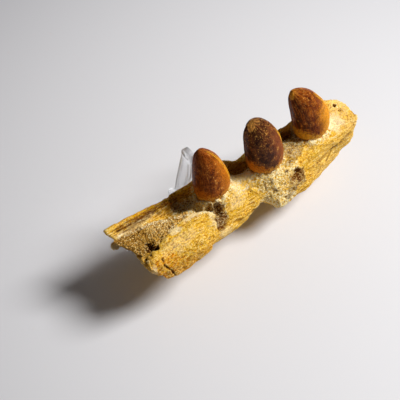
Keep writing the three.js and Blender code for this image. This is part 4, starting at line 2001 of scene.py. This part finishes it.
@dataclass
class ToothCrown:
    """One curved crown with its root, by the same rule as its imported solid."""

    BEND = (1.9, 1.5)
    NECK_SWELL = 0.09
    ROOT_TAPER = 0.1
    ROOT_RINGS = 12
    PATTERN_RADIUS = 9.0
    STRIAE, STRIAE_RATE = 0.05, (1.3, 1.3, 0.09)
    FACETS, FACET_RATE, FACET_SHIFT = 0.1, (0.28, 0.28, 0.03), 7.0
    DENTS, DENT_SPACING, DENT_SHIFT = 0.12, 7.0, 3.0
    FADE_IN, FADE_OUT = (0.0, 0.06), (1.0, 0.97)
    KEEL_SWELL, KEEL_WIDTH, KEEL_RISE = 0.3, 0.22, (0.02, 0.3)
    RIDGE_HEIGHT, RIDGE_WIDTH, RIDGE_PAINT = 0.3, 0.028, 0.034
    RIDGE_FADE = (0.2, 0.12)
    AHEAD = 0.01

    node: str
    slot: str
    along: float
    across: float
    base: float
    height: float
    reach: Pair
    lean: Pair
    point: float
    sharp: float
    keel_turn: float
    colours: EnamelColours
    chip: Chip | None = None
    keel_half: float = 0.085
    keel_reach: Pair = (0.1, 0.97)
    speck_and_glint_reach: Pair = (0.6, 0.8)
    # Painted light: which way the lit side faces, how strong it is and how far up it reaches.
    lit_turn: float = -20.0
    lit_share: float = 0.55
    lit_reach: Pair = (0.95, 0.4)
    pattern_shift: float = 0.0
    neck_turn: float = 188.0
    # Painted shade: which way the shaded side faces.
    shade_turn: float = -140.0
    root_depth: float = 6.5
    root_shrink: float = 0.9
    tip_size: float = 0.018
    rings: int = 150
    sides: int = 192
    paint: PaintSizes = PaintSizes()

    def socket(self) -> Socket:
        """Return where the crown stands."""
        return Socket(
            self.along,
            self.across,
            self.base,
            self.reach[0] * self.root_shrink,
            self.reach[1] * self.root_shrink,
        )

    def middle(self, share: Array) -> Array:
        """Return the middle of the crown at each share of its height.

        Args:
            share: Shares of the height, from 0 at the neck.

        Returns:
            Jaw measures of the middle line.
        """
        bend = np.maximum(share, 0.0)
        return np.column_stack(
            [
                self.along + self.lean[0] * bend ** self.BEND[0],
                self.across + self.lean[1] * bend ** self.BEND[1],
                self.base + self.height * share,
            ]
        )

    def sizes(self, share: Array) -> Array:
        """Return the crown's size at each share of its height, where 1 is its widest.

        Args:
            share: Shares of the height, from 0 at the neck.

        Returns:
            One size for each share.
        """
        rise = smooth_step(0.0, self.NECK_SWELL, share)
        swell = self.root_shrink + (1.0 - self.root_shrink) * rise
        taper = np.maximum((1.0 - np.clip(share, 0.0, 1.0) ** self.sharp) ** self.point, 0.0)
        below = smooth_step(0.0, -self.root_depth / self.height, share)
        root = 1.0 - self.ROOT_TAPER * below
        return swell * np.maximum(taper, self.tip_size) * root

    def build(self, jaw: JawFrame, finish: EnamelFinish) -> Object:
        """Make the crown.

        Args:
            jaw: The measures of the jaw.
            finish: What the crown is covered with.

        Returns:
            The crown and its root, as one piece.
        """
        climb = np.sin(np.linspace(0.0, 1.0, self.rings) * math.pi / 2)
        root = np.linspace(-self.root_depth / self.height, 0.0, self.ROOT_RINGS)[:-1]
        share = np.concatenate([root, climb])
        turn = np.linspace(0.0, math.tau, self.sides, endpoint=False)
        grid_turn = np.tile(turn, len(share))
        grid_share = np.repeat(share, self.sides)
        around = np.column_stack(
            [
                np.cos(grid_turn) * self.PATTERN_RADIUS,
                np.sin(grid_turn) * self.PATTERN_RADIUS,
                grid_share * self.height,
            ]
        )
        pattern = Pattern(int(self.along))
        proud = self._proud(share, turn, around, pattern)
        flat = self._chipped(self._rings(share, turn, proud).reshape(-1, 3), pattern)
        placed = jaw.places(flat).reshape(len(share), self.sides, 3)
        name = f"{self.node}_crown"
        crown = new_piece(name, grid_mesh(name, placed))
        self._mark(crown.data, around, grid_share, flat, pattern)
        coat(crown.data, finish)
        enter(crown, self.node)
        return crown

    def _proud(self, share: Array, turn: Array, around: Array, pattern: Pattern) -> Array:
        """Return how far the enamel stands out, ring by ring: its striae, facets and keels.

        Args:
            share: Share of the height of each ring.
            turn: Angle of each point of a ring.
            around: Places on a plain cylinder, one for each point.
            pattern: The crown's own pattern.

        Returns:
            Rings by points, in millimetres.
        """
        off_keel = self._off_keel(turn)
        keel_height = self.KEEL_SWELL * np.exp(-((off_keel / self.KEEL_WIDTH) ** 2))
        for edge in (-self.keel_half, self.keel_half):
            ridge = np.exp(-(((off_keel - edge) / self.RIDGE_WIDTH) ** 2))
            keel_height += self.RIDGE_HEIGHT * ridge
        striae = self.STRIAE * pattern.waves(around * np.array(self.STRIAE_RATE))
        wide = around * np.array(self.FACET_RATE) + self.FACET_SHIFT
        facets = self.FACETS * pattern.waves(wide)
        dents = self.DENTS * pattern.rough(around / self.DENT_SPACING + self.DENT_SHIFT, 2)
        swell = (striae + facets + dents).reshape(len(share), self.sides)
        fade = smooth_step(*self.FADE_IN, share) * smooth_step(*self.FADE_OUT, share)
        keels = np.outer(fade * smooth_step(*self.KEEL_RISE, share), keel_height)
        return swell * fade[:, None] + keels

    def _rings(self, share: Array, turn: Array, proud: Array) -> Array:
        """Return the crown's rings of points, each square to its bent middle line.

        Args:
            share: Share of the height of each ring.
            turn: Angle of each point of a ring.
            proud: How far each point stands out.

        Returns:
            Rings by points by three.
        """
        middle = self.middle(share)
        ahead = self.middle(share + self.AHEAD) - self.middle(share - self.AHEAD)
        ahead /= np.linalg.norm(ahead, axis=1, keepdims=True)
        first = np.array([1.0, 0.0, 0.0]) - ahead * ahead[:, :1]
        first /= np.linalg.norm(first, axis=1, keepdims=True)
        second = np.cross(first, ahead)
        size = self.sizes(share)[:, None]
        cosine, sine = np.cos(turn)[None], np.sin(turn)[None]
        long_way = self.reach[0] * size * cosine + proud * cosine
        cross_way = self.reach[1] * size * sine + proud * sine
        rings = middle[:, None] + long_way[..., None] * first[:, None]
        return rings + cross_way[..., None] * second[:, None]

    def _off_keel(self, turn: Array) -> Array:
        """Return the angle from the nearer keel, in radians."""
        away = turn - math.radians(self.keel_turn)
        return (away + math.pi / 2) % math.pi - math.pi / 2

    def _chipped(self, points: Array, pattern: Pattern) -> Array:
        """Flatten the tip where a flake of enamel is gone.

        Args:
            points: Jaw measures of the crown's points.
            pattern: The crown's own pattern.

        Returns:
            The points, with the chip taken off.
        """
        chip = self.chip
        if chip is None:
            return points
        facing = np.array(chip.facing) / np.linalg.norm(chip.facing)
        tip = self.middle(np.array([1.0]))[0]
        uneven = chip.UNEVEN * pattern.rough(points / chip.UNEVEN_SPACING, 2)
        over = np.maximum((points - tip) @ facing + chip.depth - uneven, 0.0)
        over = np.where(np.linalg.norm(points - tip, axis=1) < chip.REACH, over, 0.0)
        return points - over[:, None] * facing

    def _mark(
        self,
        mesh: Mesh,
        around: Array,
        share: Array,
        points: Array,
        pattern: Pattern,
    ) -> None:
        """Write the crown's own coordinates and where its colours lie as attributes.

        Args:
            mesh: The crown's mesh.
            around: Places on a plain cylinder, one for each point of the rings.
            share: Share of the crown's height there.
            points: Jaw measures of the same points.
            pattern: What makes the edges of the marks uneven.
        """

        def write(name: str, values: Array, low: float = 0.0, high: float = 0.0) -> None:
            """Write one mask, with its values at the two closing points."""
            set_mask(mesh, name, np.concatenate([values, [low, high]]))

        ends = np.array([[0.0, 0.0, -self.root_depth], [0.0, 0.0, self.height]])
        ordered = np.concatenate([around, ends])[:, [2, 0, 1]] + self.pattern_shift
        layer = mesh.attributes.new("crown", "FLOAT_VECTOR", "POINT")
        layer.data.foreach_set("vector", ordered.astype(np.float32).ravel())
        paint = self.paint
        edge = share + paint.uneven * pattern.rough(around / paint.uneven_spacing, 3)
        turn = np.arctan2(around[:, 1], around[:, 0])
        write("keel", self._keel_paint(turn, edge))
        # Painted light: a lighter colour on the side facing the lamp, partly also the enamel's
        # translucency.
        side = smooth_step(*paint.lit_facing, towards(turn, self.lit_turn))
        write("lit", self.lit_share * side * smooth_step(*self.lit_reach, edge))
        # Painted shade: a darker, streaked colour on the side turned from the lamp, partly also the
        # crown's own dark streaks.
        dark = smooth_step(*paint.shade_facing, towards(turn, self.shade_turn))
        write("shade", dark * smooth_step(*paint.shade_reach, edge))
        # Where the specks lie: partly dust, partly painted glints.
        write("speck_and_glint_share", self.colours.speck_and_glint_share * smooth_step(*self.speck_and_glint_reach, edge))
        rise = smooth_step(*paint.neck_facing, towards(turn, self.neck_turn))
        rise = paint.neck_low + paint.neck_rise * rise
        torn = pattern.rough(around / paint.neck_spacing + paint.neck_shift, 2)
        torn = edge + paint.neck_torn * torn
        neck = smooth_step(rise + paint.neck_edge, rise - paint.neck_edge, torn)
        write("neck", paint.neck_strength * neck, 1.0)
        torn = pattern.rough(around / paint.crust_spacing + paint.crust_shift, 2)
        torn = edge + paint.crust_torn * torn
        write("crust", smooth_step(*paint.crust_reach, torn), 1.0)
        tip = smooth_step(*paint.tip_reach, edge) * paint.tip_strength
        if self.chip is not None:
            tip = np.maximum(tip, self._chip_paint(self.chip, turn, share, points, pattern))
        write("tip", tip, 0.0, paint.tip_end)

    def _keel_paint(self, turn: Array, edge: Array) -> Array:
        """Return the share of golden keel: two lines along the near keel.

        Args:
            turn: Angle of each point.
            edge: Uneven share of the height there.

        Returns:
            One share for each point.
        """
        off = self._off_keel(turn)
        keel = np.zeros(len(turn))
        for ridge in (-self.keel_half, self.keel_half):
            keel = np.maximum(keel, np.exp(-(((off - ridge) / self.RIDGE_PAINT) ** 2)))
        low, high = self.keel_reach
        rise, fall = self.RIDGE_FADE
        keel *= smooth_step(high, high - fall, edge) * smooth_step(low, low + rise, edge)
        return keel * (towards(turn, self.keel_turn) > 0)

    def _chip_paint(
        self,
        chip: Chip,
        turn: Array,
        share: Array,
        points: Array,
        pattern: Pattern,
    ) -> Array:
        """Return the share of the paler spot at each place.

        Args:
            chip: The chip.
            turn: Angle of each point.
            share: Share of the height there.
            points: Jaw measures of the points.
            pattern: The crown's own pattern.

        Returns:
            One share for each point.
        """
        side = (turn - math.radians(chip.turn) + math.pi) % math.tau - math.pi
        side *= self.reach[1] * self.sizes(share)
        away = np.hypot(side, (share - chip.share) * self.height)
        away += chip.PAINT_UNEVEN * pattern.rough(points / chip.PAINT_SPACING, 2)
        return smooth_step(chip.half + chip.PAINT_EDGE, chip.half - chip.PAINT_EDGE, away)


def crowns() -> list[ToothCrown]:
    """Make the three crowns.

    Returns:
        The crowns, from the back of the jaw to the front.
    """
    return [
        ToothCrown(
            node="tooth_rear",
            slot="enamel_rear",
            along=61.6,
            across=9.4,
            base=41.0,
            height=34.4,
            reach=(10.1, 8.6),
            lean=(-6.4, -3.4),
            point=0.62,
            sharp=2.0,
            keel_turn=-36.0,
            pattern_shift=23.0,
            colours=EnamelColours(
                body=(130, 56, 5),
                streak=(70, 27, 2),
                pale=(196, 100, 12),
                lit=(226, 132, 16),
                neck=(204, 110, 10),
                tip=(150, 74, 8),
            ),
        ),
        ToothCrown(
            node="tooth_middle",
            slot="enamel_middle",
            along=95.0,
            across=12.0,
            base=40.0,
            height=38.0,
            reach=(10.3, 9.0),
            lean=(-8.8, -2.6),
            point=0.58,
            sharp=3.0,
            keel_turn=-26.0,
            keel_reach=(0.25, 0.7),
            lit_share=0.5,
            colours=EnamelColours(
                body=(68, 30, 14),
                streak=(42, 18, 9),
                pale=(112, 52, 24),
                lit=(168, 84, 38),
                neck=(222, 126, 10),
                tip=(255, 178, 84),
                speck_and_glint_share=0.9,
            ),
            chip=Chip((-0.7, 0.05, 0.68), depth=0.45, turn=208.0, share=0.968, half=2.1),
        ),
        ToothCrown(
            node="tooth_front",
            slot="enamel_front",
            along=130.4,
            across=9.0,
            base=38.4,
            height=38.0,
            reach=(10.6, 8.8),
            lean=(-14.6, -3.6),
            point=0.66,
            sharp=2.5,
            keel_turn=-26.0,
            keel_reach=(0.3, 0.75),
            lit_share=0.9,
            lit_reach=(0.62, 0.36),
            pattern_shift=17.0,
            shade_turn=-172.0,
            colours=EnamelColours(
                body=(112, 44, 1),
                streak=(62, 26, 5),
                pale=(184, 96, 4),
                lit=(238, 156, 20),
                neck=(246, 170, 34),
                tip=(255, 170, 50),
                streaky=0.3,
                speck_and_glint_share=0.6,
                shading=0.9,
            ),
            chip=Chip((-0.8, 0.2, 0.5), depth=0.3, turn=205.0, share=0.96, half=1.4),
        ),
    ]


# ------------------------------------------------------------------ easel


@dataclass
class ClearEasel:
    """The clear easel: two carriers and the bar that joins them."""

    voxel: float = 0.3
    smoothing: int = 9
    bar_bevel: float = 0.35
    bevel_steps: int = 3

    def build(self, finish: ClearPlasticFinish) -> list[Object]:
        """Make the easel's three pieces.

        Args:
            finish: What they are made of.

        Returns:
            The pieces.
        """
        pieces = {}
        for node in ("stand_upright", "stand_low_arm"):
            pieces[node] = voxel_copy(node, f"{node}_moulding", self.voxel)
            soften(pieces[node].data, self.smoothing, False)
        bar = merged_copy("stand_bar", "stand_bar_moulding")
        bevel = bar.modifiers.new("round_edges", "BEVEL")
        bevel.width = self.bar_bevel * MM
        bevel.segments = self.bevel_steps
        apply_modifiers(bar)
        pieces["stand_bar"] = bar
        for node, piece in pieces.items():
            coat(piece.data, finish)
            enter(piece, node)
        return list(pieces.values())


# ------------------------------------------------------------------ studio


@dataclass
class Studio:
    """The pale floor with a painted pool of light, the soft light and the camera."""

    floor_half: float = 3000.0
    # Painted light: the floor is painted paler round this middle and darker outwards.
    light_pool_middle: Triple = (20.0, -60.0, 0.0)
    floor_painted_lit: Triple = (226, 225, 227)
    floor_painted_dim: Triple = (192, 191, 194)
    painted_light_fade: Pair = (70.0, 290.0)
    floor_roughness: float = 0.6
    floor_gloss: float = 0.2
    camera_at: Triple = (-227.4, -268.9, 513.5)
    camera_target: Triple = (-26.5, -5.2, 40.0)
    lens: float = 100.0
    light_at: Triple = (765.4, -334.5, 965.5)
    light_target: Triple = (0.0, 0.0, 40.0)
    light_size: float = 504.0
    light_power: float = 20.5
    sky: Triple = (84, 82, 82)
    sky_strength: float = 1.0

    def build(self) -> None:
        """Set up the whole studio."""
        self._floor()
        self._camera()
        self._light()
        self._sky()
        bpy.context.scene.view_settings.view_transform = "Standard"

    def _floor(self) -> None:
        """Lay the floor, painted paler round its middle and darker outwards as a painted falloff of
        the lamp's light.
        """
        half = self.floor_half * MM
        mesh = bpy.data.meshes.new("studio_floor")
        corners = [(-half, -half, 0.0), (half, -half, 0.0), (half, half, 0.0), (-half, half, 0.0)]
        mesh.from_pydata(corners, [], [(0, 1, 2, 3)])
        floor = new_piece("studio_floor", mesh)
        finish = Finish("pale_floor_painted_light")
        make = finish.make
        # Painted light: the colour fades from a lit middle to a dimmer rim, standing in for the
        # lamp's falloff.
        sources = {0: make.millimetres(), 1: self.light_pool_middle}
        reach = make.node("ShaderNodeVectorMath", sources, operation="DISTANCE")
        fade = make.span(reach.outputs["Value"], *self.painted_light_fade)
        colour = make.mix(make.times(fade, fade), self.floor_painted_lit, self.floor_painted_dim)
        make.feed(finish.shader.inputs["Base Color"], colour)
        finish.constant(Roughness=self.floor_roughness, Specular_IOR_Level=self.floor_gloss)
        coat(mesh, finish)

    def _camera(self) -> None:
        """Place the camera."""
        data = bpy.data.cameras.new("camera")
        data.lens = self.lens
        camera = self._aimed("camera", data, self.camera_at, self.camera_target)
        bpy.context.scene.camera = camera

    def _light(self) -> None:
        """Hang the soft light, facing the object."""
        data = bpy.data.lights.new("soft_light", "AREA")
        data.shape = "DISK"
        data.size = self.light_size * MM
        data.energy = self.light_power
        self._aimed("soft_light", data, self.light_at, self.light_target)

    @staticmethod
    def _aimed(name: str, data: ID, at: Triple, target: Triple) -> Object:
        """Place a camera or a light and turn it to face a point.

        Args:
            name: Name of the object.
            data: The camera or light.
            at: Where it is.
            target: What it faces.

        Returns:
            The object.
        """
        placed = new_piece(name, data)
        placed.location = Vector(at) * MM
        aim = Vector(target) - Vector(at)
        placed.rotation_euler = aim.to_track_quat("-Z", "Y").to_euler()
        return placed

    def _sky(self) -> None:
        """Set the even light from all round."""
        world = bpy.data.worlds.new("room")
        world.use_nodes = True
        background = world.node_tree.nodes["Background"]
        background.inputs["Color"].default_value = (*linear(self.sky), 1.0)
        background.inputs["Strength"].default_value = self.sky_strength
        bpy.context.scene.world = world


def main() -> None:
    """Build the studio and every piece, in order."""
    logging.basicConfig(level=logging.INFO, format="%(message)s")
    Studio().build()
    jaw = JawFrame.of_object()
    effects = SharedEffects()
    sand = SandColours()
    fossil = FossilFinish(effects, BoneColours(), sand)
    rock_grains = GrainFinish("rock_grains", sand)
    bone_grains = GrainFinish("bone_grains", GOLDEN_GRAINS)
    scatter = GrainScatter()
    teeth = crowns()
    sockets = [tooth.socket() for tooth in teeth]
    pieces = JawBone(jaw=jaw, sockets=sockets).build(fossil, scatter, bone_grains)
    pieces += MatrixFill(jaw=jaw).build(fossil, scatter, rock_grains)
    for tooth in teeth:
        finish = EnamelFinish(f"{tooth.slot}_gloss", effects, tooth.colours)
        pieces.append(tooth.build(jaw, finish))
    pieces += ClearEasel().build(ClearPlasticFinish())
    for piece in pieces:
        LOG.info("%s: %d faces", piece.name, len(piece.data.polygons))


if __name__ == "__main__":
    main()
